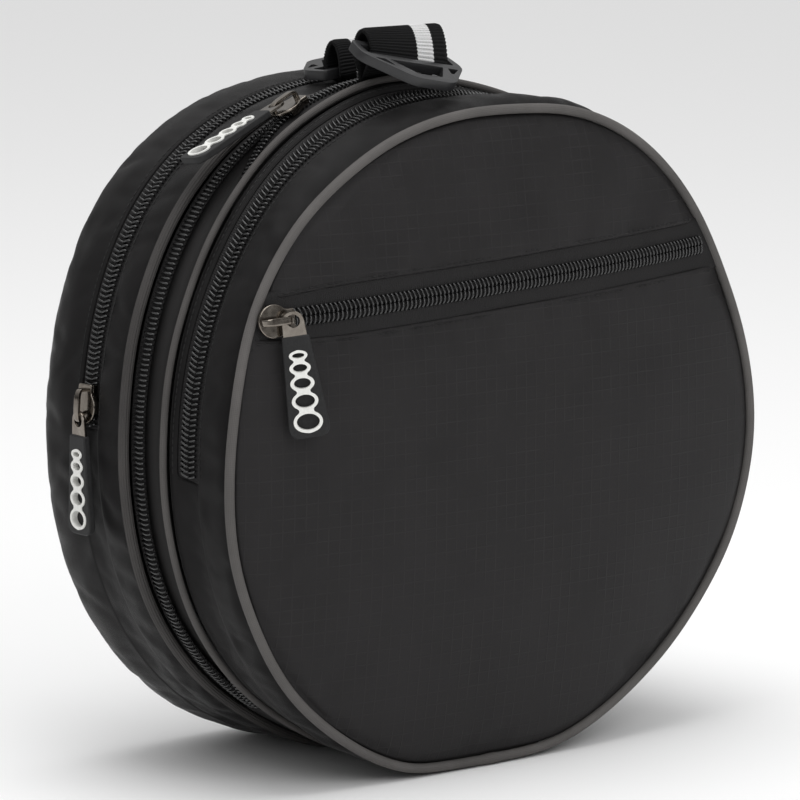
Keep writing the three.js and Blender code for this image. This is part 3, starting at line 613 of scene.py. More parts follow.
# Back panel: the same ripstop nylon closing the back, with no zip and a flatter dome.
# Its rim is sewn to the rolled edge of the rear band.
BACK_DOME, BACK_PANEL_SEAM = 6.0, BACK_SEAM + 1.8
BACK_OUT, BACK_DENT_SEED = 1, 12
back_panel = add_panel("back_cloth", BACK_PANEL_SEAM, BACK_DOME, BACK_OUT)
add_dents(back_panel, BACK_PANEL_SEAM, BACK_OUT, BACK_DENT_SEED)
settle_cloth(back_panel, rim_share(back_panel, BACK_PANEL_SEAM) > RIM_SEWN, **PANEL_SETTLE)
thicken(back_panel, CLOTH_THICK)
sew_in(back_panel, ripstop_nylon, "panel_cloth", "back_panel")

# Piping: a round cord in a sleeve of grey woven tape, sewn into each of the three seams.
# The one beside the rear compartment is a wider ribbed tape over its cord.
PIPING_STAND, PIPING_RADIUS, PIPING_CLEAR = 1.3, 2.2, 0.02
PIPING_STEPS, PIPING_SIDES, RIBBED_SIDES = 480, 16, 72
PIPING_WAVER, WAVER_SLOW, WAVER_QUICK = 0.25, 7, 17
LAP_ANGLE, LAP_WIDTH, LAP_RISE = -90.7, 1.4, 0.3
PIPING_RIBS = 12
PIPING_SINK, PIPING_SUNK = 4.0, (98, 17)
FACE_OUTWARD = (bpy.ops.mesh.normals_make_consistent, {"inside": False})


def add_piping(name, depth, across, high, ribs, lap):
    piece = start_piece(
        name, bpy.ops.mesh.primitive_torus_add, major_segments=PIPING_STEPS,
        minor_segments=RIBBED_SIDES if ribs else PIPING_SIDES, major_radius=1, minor_radius=0.25,
    )
    x, y, z = read_points(piece).T
    angle, turn = np.arctan2(y, x), np.arctan2(z, np.hypot(x, y) - 1)
    waver = np.sin(WAVER_SLOW * angle + depth) + np.sin(WAVER_QUICK * angle + 2 * depth)
    stand = PIPING_STAND - (PIPING_SINK * bump(angle, PIPING_SUNK) if ribs else 0)
    centre = on_shell(angle, depth + PIPING_WAVER * waver / 2, stand, high)
    swell = 1 + ribs * (np.abs(np.cos(PIPING_RIBS / 2 * turn)) - 1)
    if lap:
        swell += LAP_RISE / high * np.exp(-((np.degrees(angle) - LAP_ANGLE) / LAP_WIDTH) ** 4)
    outward = np.stack([np.cos(angle), 0 * angle, np.sin(angle)], -1)
    cord = centre + outward * (high * swell * np.cos(turn))[:, None]
    cord[:, 1] += across * swell * np.sin(turn)
    cord[:, 2] = np.maximum(cord[:, 2], PIPING_CLEAR)
    write_points(piece, cord * MM)
    round_the_bag = 2 * math.pi * MEAN_RADIUS
    measure_cloth(piece, lambda u: u * round_the_bag, lambda v: v * 2 * math.pi * across)
    edit(piece, SELECT_ALL, FACE_OUTWARD)
    smooth_all(piece)
    return piece


piping_tape = cloth_finish("piping_tape", (0.058, 0.055, 0.053), (0.128, 0.121, 0.117), 0.8, 0.72)
# The pocket piping is the same grey tape as the front piping, painted darker: painted shade.
piping_shaded = cloth_finish("piping_shaded", (0.046, 0.0435, 0.042), (0.104, 0.098, 0.095), 0.8, 0.72)
piping_ribbed = cloth_finish("piping_ribbed", (0.032, 0.030, 0.0295), (0.072, 0.068, 0.066), 0.7, 0.7)
for seam_name, seam_depth, tape_half, tape_high, tape_ribs, tape_lap, tape_finish in (
    ("front_piping", FRONT_SEAM, PIPING_RADIUS, PIPING_RADIUS, 0, True, piping_tape),
    ("pocket_piping", POCKET_SEAM, PIPING_RADIUS - 0.7, PIPING_RADIUS - 0.6, 0, False, piping_shaded),
    ("body_piping", BODY_SEAM, PIPING_RADIUS + 0.6, PIPING_RADIUS, 0.13, False, piping_ribbed),
):
    piping = add_piping(f"{seam_name}_tape", seam_depth, tape_half, tape_high, tape_ribs, tape_lap)
    sew_in(piping, tape_finish, "piping", seam_name)

# Zips of the front and rear compartments: a nylon coil sewn to two black woven tapes, closed.
# Each tooth is one turn of the coil, and the two halves mesh along the middle.
TAPE_HALF, TAPE_TOP, TAPE_THICK = 7.4, -0.9, 0.8
TAPE_ROWS, TAPE_STEPS = 9, 160
COIL_PITCH, COIL_WIRE, COIL_SIDES, COIL_SEAM = 2.28, 0.52, 6, 0.01
STITCH_PITCH, STITCH_SIZE = 3.2, np.array([1.3, 0.3, 0.26])
STITCH_OFF, STITCH_RISE = 1.7, 0.3
ZIP_SETBACK, TAPE_UNDER = 0.5, 1.5
# One turn of the right-hand coil: along (in pitches), across, height
COIL_TURN = np.array([
    (-0.42, 3.2, -1.0), (-0.42, 3.75, -0.3), (-0.38, 3.7, 0.35), (-0.28, 3.1, 0.78), (-0.10, 2.0, 0.86),
    (0.02, 1.15, 0.82), (0.07, 0.55, 0.62), (0.08, 0.15, 0.1), (0.06, 0.4, -1.1),
])


def add_turn(side):
    """One turn of coil, drawn from a grid rolled into a bent wire."""
    piece, around, along = add_cloth_grid("turn", COIL_SIDES, len(COIL_TURN) - 1)
    row = np.rint(along * (len(COIL_TURN) - 1)).astype(int)
    path = COIL_TURN * np.array([COIL_PITCH, side, 1])
    run = np.gradient(path, axis=0)
    run /= np.linalg.norm(run, axis=1, keepdims=True)
    flank = np.cross(run, np.array([1.0, 0, 0]))
    flank /= np.linalg.norm(flank, axis=1, keepdims=True)
    lift = np.cross(flank, run)
    turn = 2 * math.pi * around
    wire = path[row] + COIL_WIRE * (np.cos(turn)[:, None] * lift[row] + np.sin(turn)[:, None] * flank[row])
    write_points(piece, wire)
    edit(piece, SELECT_ALL, merge_within(COIL_SEAM), FACE_OUTWARD)
    return piece


def repeat_along(name, parts):
    """Joins copies of small shapes into one mesh: (shape, places, point on the bag) for each row."""
    points, corners, count = [], [], 0
    for shape, places, lay in parts:
        local = read_points(shape)
        faces = [list(face.vertices) for face in shape.data.polygons]
        for place in places:
            points.append(lay(place + local[:, 0], local[:, 1], local[:, 2]))
            corners += [[count + i for i in face] for face in faces]
            count += len(local)
    mesh = bpy.data.meshes.new(name)
    mesh.from_pydata((np.concatenate(points) * MM).tolist(), [], corners)
    piece = bpy.data.objects.new(name, mesh)
    bpy.context.scene.collection.objects.link(piece)
    bpy.ops.object.select_all(action="DESELECT")
    edit(piece, SELECT_ALL, FACE_OUTWARD)
    smooth_all(piece)
    return piece


def add_stitch():
    """One lockstitch: a short thread that dips into the cloth at both ends."""
    ball = bpy.ops.mesh.primitive_uv_sphere_add
    piece = start_piece("stitch", ball, segments=6, ring_count=4, radius=1)
    write_points(piece, read_points(piece)[:, [2, 0, 1]] * STITCH_SIZE)
    return piece


def radius_at(depth):
    return float(shell_column(np.array(depth), RADIUS))


def along_shell(depth, rise=0.0):
    """Where a point of a zip or stitch line lies: along, across it and off the shell."""
    radius = radius_at(depth)
    return lambda along, across, height: on_shell(along / radius, depth + across, height + rise)


def span(arc, depth, pitch):
    start, end = (math.radians(angle) * radius_at(depth) for angle in arc)
    return np.arange(start, end, pitch)


zip_tape = cloth_finish("zip_tape", (0.0105, 0.0100, 0.0103), (0.0205, 0.0197, 0.0200), 0.7, 0.6, ribs=1.14)
coil_nylon, coil_tree, coil_shader = new_finish(
    "coil_nylon", Base_Color=(0.007, 0.007, 0.0073, 1), Specular_IOR_Level=0.75,
)
coil_rub = clouds(coil_tree, coords(coil_tree, "Object"), 700.0, 3.0)
feed(coil_tree, coil_shader, Roughness=draw_out(coil_tree, coil_rub, (0.0, 1.0), (0.18, 0.36)))
thread_black = cloth_finish("thread_black", (0.012, 0.012, 0.012), (0.03, 0.03, 0.03), 0.3, 0.5)
right_turn, left_turn, stitch = add_turn(1), add_turn(-1), add_stitch()
for zip_name, zip_arc, zip_depth in (
    ("front", FRONT_ZIP_ARC, FRONT_ZIP), ("rear", REAR_ZIP_ARC, REAR_ZIP),
):
    tape_rows = [(zip_depth + TAPE_HALF * share, TAPE_TOP) for share in np.linspace(-1, 1, TAPE_ROWS)]
    tape_arc = (zip_arc[0] - TAPE_UNDER, zip_arc[1] + TAPE_UNDER)
    tape = add_band(f"{zip_name}_zip_tape", tape_rows, tape_arc, TAPE_STEPS)
    thicken(tape, TAPE_THICK, rounds=0)
    sew_in(tape, zip_tape, "zip", f"{zip_name}_zip")
    coil_arc = (zip_arc[0] + ZIP_SETBACK, zip_arc[1] - ZIP_SETBACK)
    teeth, lay = span(coil_arc, zip_depth, COIL_PITCH), along_shell(zip_depth)
    coil = repeat_along(f"{zip_name}_zip_coil", [(right_turn, teeth, lay), (left_turn, teeth, lay)])
    sew_in(coil, coil_nylon, "zip", f"{zip_name}_zip")
    hems = [zip_depth - HEM_HALF - STITCH_OFF, zip_depth + HEM_HALF + STITCH_OFF]
    runs = [(stitch, span(coil_arc, hem, STITCH_PITCH), along_shell(hem, STITCH_RISE)) for hem in hems]
    stitches = repeat_along(f"{zip_name}_zip_stitches", runs)
    sew_in(stitches, thread_black, "side_cloth")

# Middle zip: the long zip of the drum compartment, run open from its slider down the left side.
# The front half of the coil falls in under the piping, and the rear half stays at its tape's edge.
MIDDLE_ZIP_ARC = (-54.0, 234.0)
MIDDLE_SLIDER_ANGLE, OPEN_RAMP = 117.8, 26.0
OPEN_WIDEN, OPEN_LEAN, OPEN_MOST = 1.25, 0.2, 1.2
MIDDLE_TAPE_STEPS, MIDDLE_TAPE_ROWS, MIDDLE_TAPE_LENGTH = 240, 8, 780
TAPE_LAP, TAPE_DIP, TAPE_EDGE, TAPE_GAP = 4.0, 0.8, 0.9, 0.3
# Each half of the zip: its seam, its side, and how far back and in it falls where the zip is open
MIDDLE_SEAMS = {
    "front": (POCKET_SEAM + 1.6, -1, (8.6, 6.5)),
    "rear": (BODY_SEAM - 1.9, 1, (1.4, 0.0)),
}


def ease_step(value, low, high):
    share = np.clip((value - low) / (high - low), 0, 1)
    return share * share * (3 - 2 * share)


def along_middle(half, widen=0.0):
    """Where a point of one half of the middle zip lies, folded away where the zip is open."""
    seam, side, (backoff, tuck) = MIDDLE_SEAMS[half]
    radius = radius_at(MIDDLE_ZIP)

    def lay(along, across, height):
        angle = along / radius
        turned = np.degrees(angle)
        opened = ease_step(turned, MIDDLE_SLIDER_ANGLE, MIDDLE_SLIDER_ANGLE + OPEN_RAMP)
        opened = opened * ease_step(MIDDLE_ZIP_ARC[1] - turned, 0, OPEN_RAMP)
        depth = MIDDLE_ZIP + across * (1 + widen * opened)
        height = height - OPEN_LEAN * widen * opened * np.abs(across)
        opened = opened * np.clip((depth - seam) / (MIDDLE_ZIP - seam), 0, OPEN_MOST)
        return on_shell(angle, depth + side * backoff * opened, height - tuck * opened)

    return lay


middle_coil_arc = (MIDDLE_ZIP_ARC[0] + ZIP_SETBACK, MIDDLE_ZIP_ARC[1] - ZIP_SETBACK)
middle_teeth = span(middle_coil_arc, MIDDLE_ZIP, COIL_PITCH)
for half, (seam, side, _) in MIDDLE_SEAMS.items():
    tape, share, row = add_cloth_grid(f"middle_zip_{half}_tape", MIDDLE_TAPE_STEPS, MIDDLE_TAPE_ROWS)
    run = middle_teeth[0] - TAPE_LAP + share * (middle_teeth[-1] - middle_teeth[0] + 2 * TAPE_LAP)
    height = TAPE_TOP - TAPE_DIP * np.clip((row - TAPE_EDGE) / (1 - TAPE_EDGE), 0, 1)
    across = (seam - MIDDLE_ZIP) * row + side * TAPE_GAP
    write_points(tape, along_middle(half)(run, across, height) * MM)
    measure_cloth(tape, lambda u: u * MIDDLE_TAPE_LENGTH, lambda v: v * abs(seam - MIDDLE_ZIP))
    face_out(tape, from_axis)
    thicken(tape, TAPE_THICK, rounds=0)
    sew_in(tape, zip_tape, "zip", f"middle_zip_{half}")
    turns = [(right_turn if side > 0 else left_turn, middle_teeth, along_middle(half, OPEN_WIDEN))]
    coil = repeat_along(f"middle_zip_{half}_coil", turns)
    sew_in(coil, coil_nylon, "zip", f"middle_zip_{half}")

# Lining behind the open zip: a strip of thin nylon inside the drum compartment, hung from the
# two seams. It is the dark cloth seen past the open half of the middle zip.
LINING_ARC, LINING_STEPS = (104, 240), 100
LINING_THICK, LINING_SEWN = 1.0, 0.5
LINING_ROWS = [
    (-20.2, -2.6), (-20.0, -6.0), (-18.8, -9.6), (-16.0, -10.4), (-13.5, -8.6), (-11.0, -5.6), (-8.0, -4.4),
    (-4.0, -4.0), (0.0, -4.0), (4.0, -4.0), (6.2, -3.8), (7.2, -3.3), (7.4, -2.6),
]
LINING_SETTLE = {"growth": 0.02, "pressure": 0.4, "cap": 0.6, "stiffness": 0.8}
# The lining's nylon is painted lighter than the side cloth: painted light that makes up for the shade inside
# the compartment.
lining_cloth_painted_light = cloth_finish("lining_cloth_painted_light", (0.013, 0.0125, 0.0125), (0.026, 0.025, 0.025), 0.5, 0.6)
lining = add_band("middle_lining", LINING_ROWS, LINING_ARC, LINING_STEPS)
lining_sewn = near_rows(lining, (LINING_ROWS[0][0], LINING_ROWS[-1][0]), LINING_SEWN)
settle_cloth(lining, lining_sewn, **LINING_SETTLE)
thicken(lining, LINING_THICK)
sew_in(lining, lining_cloth_painted_light, "side_cloth")

# Pocket zip: the same coil and tape, sewn flat across the front panel on a slight slant.
# Its ends run in under the piping, and the panel's folded edges are stitched down to the tape.
POCKET_TAPE_HALF, POCKET_TAPE_LENGTH = 12.0, 280
POCKET_TAPE_STEPS, POCKET_TAPE_ROWS = 120, 12
POCKET_REACH, POCKET_FAR, POCKET_TRIES = 1.012, 1.1 * AXIS_HEIGHT, 900
POCKET_COIL_START, POCKET_COIL_SETBACK = -126.0, 5.5
HEM_STITCH, HEM_STITCH_RISE, HEM_STITCH_SETBACK = 1.9, 0.35, 6.0


def on_front(along, across, height):
    """Points on the front panel along and across the pocket zip's line, in millimetres."""
    x = along * math.cos(POCKET_TILT) - across * math.sin(POCKET_TILT)
    z = AXIS_HEIGHT + POCKET_RISE + along * math.sin(POCKET_TILT) + across * math.cos(POCKET_TILT)
    bulge, _ = dome(x, z, FRONT_SEAM, FRONT_DOME)
    return np.stack([x, FRONT_SEAM - PANEL_HALF_WALL - bulge - height, z], -1)


def pocket_end(across, side):
    """How far the zip's line runs out before it meets the rim."""
    runs = np.linspace(0, side * POCKET_FAR, POCKET_TRIES)
    points = on_front(runs, np.full(len(runs), across), 0)
    return runs[dome(points[:, 0], points[:, 2], FRONT_SEAM, 0)[1] < POCKET_REACH][-1]


def along_hem(side):
    """Where a stitch of the panel's folded edge lies."""
    def lay(along, across, height):
        return on_front(along, side * (hem_at(along) + HEM_STITCH) + across, height + HEM_STITCH_RISE)

    return lay


tape, share, row = add_cloth_grid("pocket_zip_tape", POCKET_TAPE_STEPS, POCKET_TAPE_ROWS)
across = POCKET_TAPE_HALF * (2 * row - 1)
tape_lines = np.unique(across)
starts = np.interp(across, tape_lines, [pocket_end(line, -1) for line in tape_lines])
ends = np.interp(across, tape_lines, [pocket_end(line, 1) for line in tape_lines])
write_points(tape, on_front(starts + share * (ends - starts), across, TAPE_TOP) * MM)
measure_cloth(tape, lambda u: u * POCKET_TAPE_LENGTH, lambda v: v * 2 * POCKET_TAPE_HALF)
face_out(tape, lambda points: np.array([0, FRONT_OUT, 0]))
thicken(tape, TAPE_THICK, rounds=0)
sew_in(tape, zip_tape, "zip", "pocket_zip")
pocket_teeth = np.arange(POCKET_COIL_START, pocket_end(0, 1) - POCKET_COIL_SETBACK, COIL_PITCH)
pocket_turns = [(turn_shape, pocket_teeth, on_front) for turn_shape in (right_turn, left_turn)]
coil = repeat_along("pocket_zip_coil", pocket_turns)
sew_in(coil, coil_nylon, "zip", "pocket_zip")
pocket_runs = []
for side in (-1, 1):
    edge = side * (POCKET_HEM + HEM_STITCH)
    first, last = pocket_end(edge, -1) + HEM_STITCH_SETBACK, pocket_end(edge, 1) - HEM_STITCH_SETBACK
    pocket_runs.append((stitch, np.arange(first, last, STITCH_PITCH), along_hem(side)))
pocket_stitches = repeat_along("pocket_zip_stitches", pocket_runs)
sew_in(pocket_stitches, thread_black, "panel_cloth")
for pattern in (right_turn, left_turn, stitch):
    bpy.data.objects.remove(pattern)

# Sliders and pulls: die-cast nickel-plated sliders with an arched bail, a flat nickel eye plate
# on the bail, and a moulded rubber tag with a raised white chain of five rings.
SLIDER_PLATE, SLIDER_LIFT, SLIDER_NARROW, SLIDER_WIDE = 1.8, 1.2, 4.6, 7.3
MOUTH_MIDDLE, MOUTH_TURN, MOUTH_POINTS = 0.9, 118, 33
SLIDER_TAIL = [(-4.6, 5.0), (-6.0, SLIDER_NARROW), (-8.8, SLIDER_NARROW), (-9.4, 4.0)]
FLANGE_HIGH, FLANGE_DROP = 2.6, -0.4
FLANGE = [
    (-9.2, 3.9), (-9.2, 4.7), (-5.5, 4.7), (-0.5, 7.0), (3.0, 7.0), (3.0, 6.2), (-0.5, 6.2), (-5.5, 3.9),
]
BAIL_HALF, BAIL_RISE, BAIL_WIDTH, BAIL_THICK = 7.6, 5.0, 3.4, 1.5
BAIL_STEPS, BAIL_ROWS, BAIL_SINK = 28, 4, 0.2
BAIL_SQUARE, BAIL_FLAT, BAIL_TAPER = 0.6, 0.42, 0.18
EYE_LENGTH, EYE_HALF, EYE_THICK, EYE_BORE = 10.5, 5.0, 1.4, 2.9
EYE_CROWN, EYE_CROWN_RADIUS, EYE_BORE_AT, EYE_BORE_LONG = 3.9, 4.8, 3.4, 2.7
EYE_INTO_TAG, EYE_FLARE = 1.5, 0.3
TAG_START, TAG_LENGTH, TAG_TOP, TAG_BOTTOM, TAG_THICK = 9.9, 44.0, 11.8, 18.4, 3.2
TAG_CORNERS, TAG_HOLE_SPARE = (1.2, 5.5, 5.5, 1.2), 0.2
RING_LEAD, RING_TAIL, RING_RAISE, RING_DEEP, RING_CLEAR = 6.0, 2.2, 0.55, 2.6, 0.1
# The five rings: half length and half width of each, and of its hole
RING_ROUNDS = np.array([(2.3, 4.0), (2.9, 4.6), (3.5, 5.2), (4.0, 5.7), (4.8, 6.3)])
RING_HOLES = np.array([(1.1, 2.6), (1.7, 3.05), (2.25, 3.6), (2.8, 4.2), (3.5, 4.9)])
CHAIN_POINTS, CHAIN_TIP, CHAIN_EASE = 121, 0.4, np.array([0.1, 0.2, 0.4, 0.2, 0.1])
NECK_SHARE, NECK_MORE = 0.5, 0.3
SHARP_EDGE, SMOOTH_EDGE = math.radians(35), math.radians(40)


def add_plate(name, outline, thick):
    """A flat plate: a filled round drawn out to the outline, extruded and eased at its edges."""
    disc = bpy.ops.mesh.primitive_circle_add
    piece = start_piece(name, disc, vertices=len(outline), radius=1, fill_type="NGON")
    flat = np.column_stack([np.asarray(outline, float), np.full(len(outline), -thick / 2)])
    write_points(piece, flat * MM)
    move = {"TRANSFORM_OT_translate": {"value": (0, 0, thick * MM)}}
    edit(piece, SELECT_ALL, (bpy.ops.mesh.extrude_region_move, move), SELECT_ALL, FACE_OUTWARD)
    return piece


def ease_edges(piece, width, segments=2):
    shape_with(
        piece, "BEVEL", width=width * MM, segments=segments, limit_method="ANGLE", angle_limit=SHARP_EDGE,
    )


def pick_out(piece):
    bpy.ops.object.select_all(action="DESELECT")
    piece.select_set(True)
    bpy.context.view_layer.objects.active = piece


def smooth_edges(piece):
    pick_out(piece)
    bpy.ops.object.shade_smooth_by_angle(angle=SMOOTH_EDGE)


def even_shading(piece):
    """Keeps flat faces flat in the light, so that only the eased edges catch it."""
    smooth_edges(piece)
    shape_with(piece, "WEIGHTED_NORMAL", keep_sharp=True)


def cut_away(piece, *cutters):
    """Cuts shapes out of a piece and takes the cutters away."""
    for cutter in cutters:
        shape_with(piece, "BOOLEAN", operation="DIFFERENCE", object=cutter, solver="EXACT")
        bpy.data.objects.remove(cutter)


def oval(centre, half_along, half_across, count=40):
    turn = np.linspace(0, 2 * math.pi, count, endpoint=False)
    return np.stack([centre + half_along * np.cos(turn), half_across * np.sin(turn)], -1)


def round_corners(corners, radii, count):
    """A closed outline with each corner turned on its radius."""
    corners = [Vector(c) for c in corners]
    outline = []
    for i, (corner, radius) in enumerate(zip(corners, radii)):
        start = corner + (corners[i - 1] - corner).normalized() * radius
        end = corner + (corners[(i + 1) % len(corners)] - corner).normalized() * radius
        for share in np.linspace(0, 1, count):
            one, two = start.lerp(corner, share), corner.lerp(end, share)
            outline.append(tuple(one.lerp(two, share)))
    return outline


def join_into(piece, *others):
    pick_out(piece)
    for other in others:
        other.select_set(True)
    bpy.ops.object.join()
    return piece


def set_down(piece, place):
    """Puts a piece made at the origin where it belongs, in its mesh."""
    pick_out(piece)
    piece.matrix_world = place
    bpy.ops.object.transform_apply(location=True, rotation=True, scale=True)


def raise_by(piece, height):
    set_down(piece, Matrix.Translation((0, 0, height * MM)))


def add_slider(name):
    """A slider with its round mouth towards +X: the plate, its flanges over the chain and the bail."""
    mouth = np.radians(np.linspace(-MOUTH_TURN, MOUTH_TURN, MOUTH_POINTS))
    outline = [(MOUTH_MIDDLE + SLIDER_WIDE * math.cos(a), SLIDER_WIDE * math.sin(a)) for a in mouth]
    outline += SLIDER_TAIL + [(x, -y) for x, y in SLIDER_TAIL[::-1]]
    plate = add_plate(name, outline, SLIDER_PLATE)
    raise_by(plate, SLIDER_LIFT)
    ease_edges(plate, 0.45, 3)
    parts = []
    for side in (-1, 1):
        flange = add_plate(f"{name}_flange", [(x, side * y) for x, y in FLANGE][::side], FLANGE_HIGH)
        raise_by(flange, FLANGE_DROP)
        ease_edges(flange, 0.25)
        parts.append(flange)
    bail, share, side = add_cloth_grid(f"{name}_bail", BAIL_STEPS, BAIL_ROWS)
    turn = math.pi * share
    arch = np.sign(np.cos(turn)) * np.abs(np.cos(turn)) ** BAIL_SQUARE * BAIL_HALF
    rise = np.abs(np.sin(turn)) ** BAIL_FLAT * BAIL_RISE
    width = (side - 0.5) * BAIL_WIDTH * (1 - BAIL_TAPER * np.abs(np.cos(turn)))
    write_points(bail, np.stack([arch, width, SLIDER_PLATE + rise - BAIL_SINK], -1) * MM)
    face_out(bail, lambda points: points * np.array([1, 0, 1]))
    thicken(bail, BAIL_THICK, rounds=0)
    ease_edges(bail, 0.35)
    return join_into(plate, bail, *parts)


def add_eye_plate(name):
    """The flat nickel plate that swings on the bail: a round eye that widens into the tag."""
    crown = np.radians(np.linspace(90, 270, 17))
    outline = [(EYE_CROWN + EYE_CROWN_RADIUS * math.cos(a), EYE_CROWN_RADIUS * math.sin(a)) for a in crown]
    foot, half = EYE_LENGTH + EYE_INTO_TAG, EYE_HALF + EYE_FLARE
    plate = add_plate(name, outline + [(foot, -half), (foot, half)], EYE_THICK)
    cut_away(plate, add_plate("bore", oval(EYE_BORE_AT, EYE_BORE_LONG, EYE_BORE), 4 * EYE_THICK))
    ease_edges(plate, 0.3)
    return plate


def ring_centres():
    half_along = RING_ROUNDS[:, 0]
    neck = (TAG_LENGTH - RING_LEAD - RING_TAIL - 2 * half_along.sum()) / (len(half_along) - 1)
    return TAG_START + RING_LEAD + np.cumsum(2 * half_along + neck) - half_along - neck


def cut_holes(piece, spare):
    """Sinks the five ring holes into a piece, as deep as the white moulding goes."""
    for centre, hole in zip(ring_centres(), RING_HOLES + spare):
        cutter = add_plate("hole", oval(centre, *hole), 2 * RING_DEEP)
        raise_by(cutter, TAG_THICK / 2)
        cut_away(piece, cutter)


def add_tag(name):
    top, bottom, end = TAG_TOP / 2, TAG_BOTTOM / 2, TAG_START + TAG_LENGTH
    corners = [(TAG_START, -top), (end, -bottom), (end, bottom), (TAG_START, top)]
    tag = add_plate(name, round_corners(corners, TAG_CORNERS, 9), TAG_THICK)
    ease_edges(tag, 0.7, 3)
    cut_holes(tag, TAG_HOLE_SPARE)
    return tag


def add_ring_chain(name):
    """Five oval rings of growing size, each running into the next over a short neck."""
    half_along, half_across = RING_ROUNDS.T
    centres = ring_centres()
    run = np.linspace(centres[0] - half_along[0], centres[-1] + half_along[-1], CHAIN_POINTS)
    widths = []
    for centre, along, across in zip(centres, half_along, half_across):
        widths.append(across * np.sqrt(np.clip(1 - ((run - centre) / along) ** 2, 0, 1)))
    for before, after, across in zip(centres, centres[1:], half_across):
        between = np.abs(run - (before + after) / 2) < (after - before) / 2
        widths.append((NECK_SHARE * across + NECK_MORE) * between)
    half = np.convolve(np.pad(np.max(widths, axis=0), 2, mode="edge"), CHAIN_EASE, "valid")
    half[0] = half[-1] = CHAIN_TIP
    outline = np.concatenate([np.stack([run, -half], -1), np.stack([run, half], -1)[::-1]])
    chain = add_plate(name, outline, RING_RAISE + RING_DEEP - RING_CLEAR)
    raise_by(chain, (TAG_THICK + RING_RAISE - RING_DEEP + RING_CLEAR) / 2)
    cut_holes(chain, 0.0)
    ease_edges(chain, 0.12)
    return chain


def worn_finish(name, colour, light, scale, roughness, deep, **values):
    """A cast or moulded finish: speckled tone, gloss that drifts, and a fine grain."""
    material, tree, shader = new_finish(name, **values)
    grain = clouds(tree, coords(tree, "Object"), scale, 5.0, 0.65)
    feed(
        tree, shader, Base_Color=two_tones(tree, grain, (0.35, colour), (0.7, light)),
        Roughness=draw_out(tree, grain, (0.3, 0.7), roughness), Normal=relief(tree, grain, 0.3, deep),
    )
    return material


# The nickel's colour is kept far darker than bright plating: painted shade standing in for the dark
# surroundings the plate mirrors.
nickel = worn_finish(
    "nickel", (0.16, 0.14, 0.12), (0.27, 0.245, 0.215), 260.0, (0.1, 0.22), 0.02, Metallic=1.0,
)
rubber = worn_finish(
    "rubber", (0.014, 0.014, 0.0145), (0.025, 0.025, 0.0255), 900.0, (0.45, 0.6), 0.06,
    Specular_IOR_Level=0.22,
)
white_rubber = worn_finish("white_rubber", (0.72, 0.72, 0.69), (0.84, 0.84, 0.81), 500.0, (0.4, 0.55), 0.03)
SLIDER_STAND, SLIDER_STEP, SLIDER_ACROSS = 1.6, 0.02, 6.4


def frame_of(x, y, z, origin):
    turn = Matrix((x, y, z)).transposed().to_4x4()
    return Matrix.Translation(origin * MM) @ turn


def slider_place(angle, depth, sense):
    """A slider's frame on the shell: X along the zip, Z out from the bag."""
    ahead = Vector(on_shell(angle + sense * SLIDER_STEP, depth, SLIDER_STAND))
    here = Vector(on_shell(angle, depth, SLIDER_STAND))
    along = (ahead - here).normalized()
    near, far = (
        Vector(on_shell(angle, depth + sense * side, 0)) for side in (-SLIDER_ACROSS, SLIDER_ACROSS)
    )
    out = along.cross(near - far).normalized()
    return frame_of(along, out.cross(along), out, here)


def pull_place(pivot, height, pitch, yaw, roll):
    turn = Matrix.Rotation(math.radians(yaw), 4, "Z") @ Matrix.Rotation(math.radians(-pitch), 4, "Y")
    turn = turn @ Matrix.Rotation(math.radians(roll), 4, "X")
    return Matrix.Translation((pivot * MM, 0, height * MM)) @ turn


def hang_pull(name, slider_at, pull_at, node=None, flip=False):
    """One slider with its eye plate, tag and rings; node is the CAD node where one stands for them all."""
    turn = Matrix.Rotation(math.pi if flip else 0, 4, "Z")
    for kind, made, place, finish, slot in (
        ("slider", add_slider, slider_at @ turn, nickel, "nickel"),
        ("pull_link", add_eye_plate, pull_at, nickel, "nickel"),
        ("pull_tag", add_tag, pull_at, rubber, "rubber"),
        ("pull_rings", add_ring_chain, pull_at, white_rubber, "white_print"),
    ):
        piece = made(f"{name}_{kind}_piece")
        set_down(piece, place)
        even_shading(piece)
        sew_in(piece, finish, slot, node or f"{name}_{kind}")


# Each slider on the shell: angle, depth, way it faces, its pull's pivot, height, pitch, yaw and roll, node
for pull_name, slider_angle, slider_depth, sense, pull, node in (
    ("middle", MIDDLE_SLIDER_ANGLE, MIDDLE_ZIP, 1, (1.8, 4.6, 1, -3, 3), None),
    ("rear", 175, REAR_ZIP, 1, (3.2, 4.6, -5, 0, 5), None),
    ("front", 0, FRONT_ZIP, -1, (-4.4, 4.2, -5, 0, 0), "front_pull"),
):
    slider_at = slider_place(math.radians(slider_angle), slider_depth, sense)
    hang_pull(pull_name, slider_at, slider_at @ pull_place(*pull), node)

# The pocket's slider lies on the front panel, and its pull hangs down from the bail, a little aslant
POCKET_SLIDER = -128.4 / math.cos(POCKET_TILT)
HANG_YAW, HANG_TILT = math.radians(-40), math.radians(8.5)
HANG_AT, HANG_DROP = Vector((5.6, 0, 6.55)), 3.1
pocket_along = Vector(on_front(POCKET_SLIDER + 1, 0, 0)) - Vector(on_front(POCKET_SLIDER - 1, 0, 0))
pocket_along.normalize()
pocket_up = Vector(on_front(POCKET_SLIDER, 1, 0)) - Vector(on_front(POCKET_SLIDER, -1, 0))
pocket_out = pocket_along.cross(pocket_up).normalized()
pocket_here = Vector(on_front(POCKET_SLIDER, 0, SLIDER_STAND))
pocket_at = frame_of(pocket_along, pocket_out.cross(pocket_along), pocket_out, pocket_here)
hang_right = Vector((math.cos(HANG_YAW), math.sin(HANG_YAW), 0))
hang_down = Vector((0, 0, -math.cos(HANG_TILT))) + hang_right * math.sin(HANG_TILT)
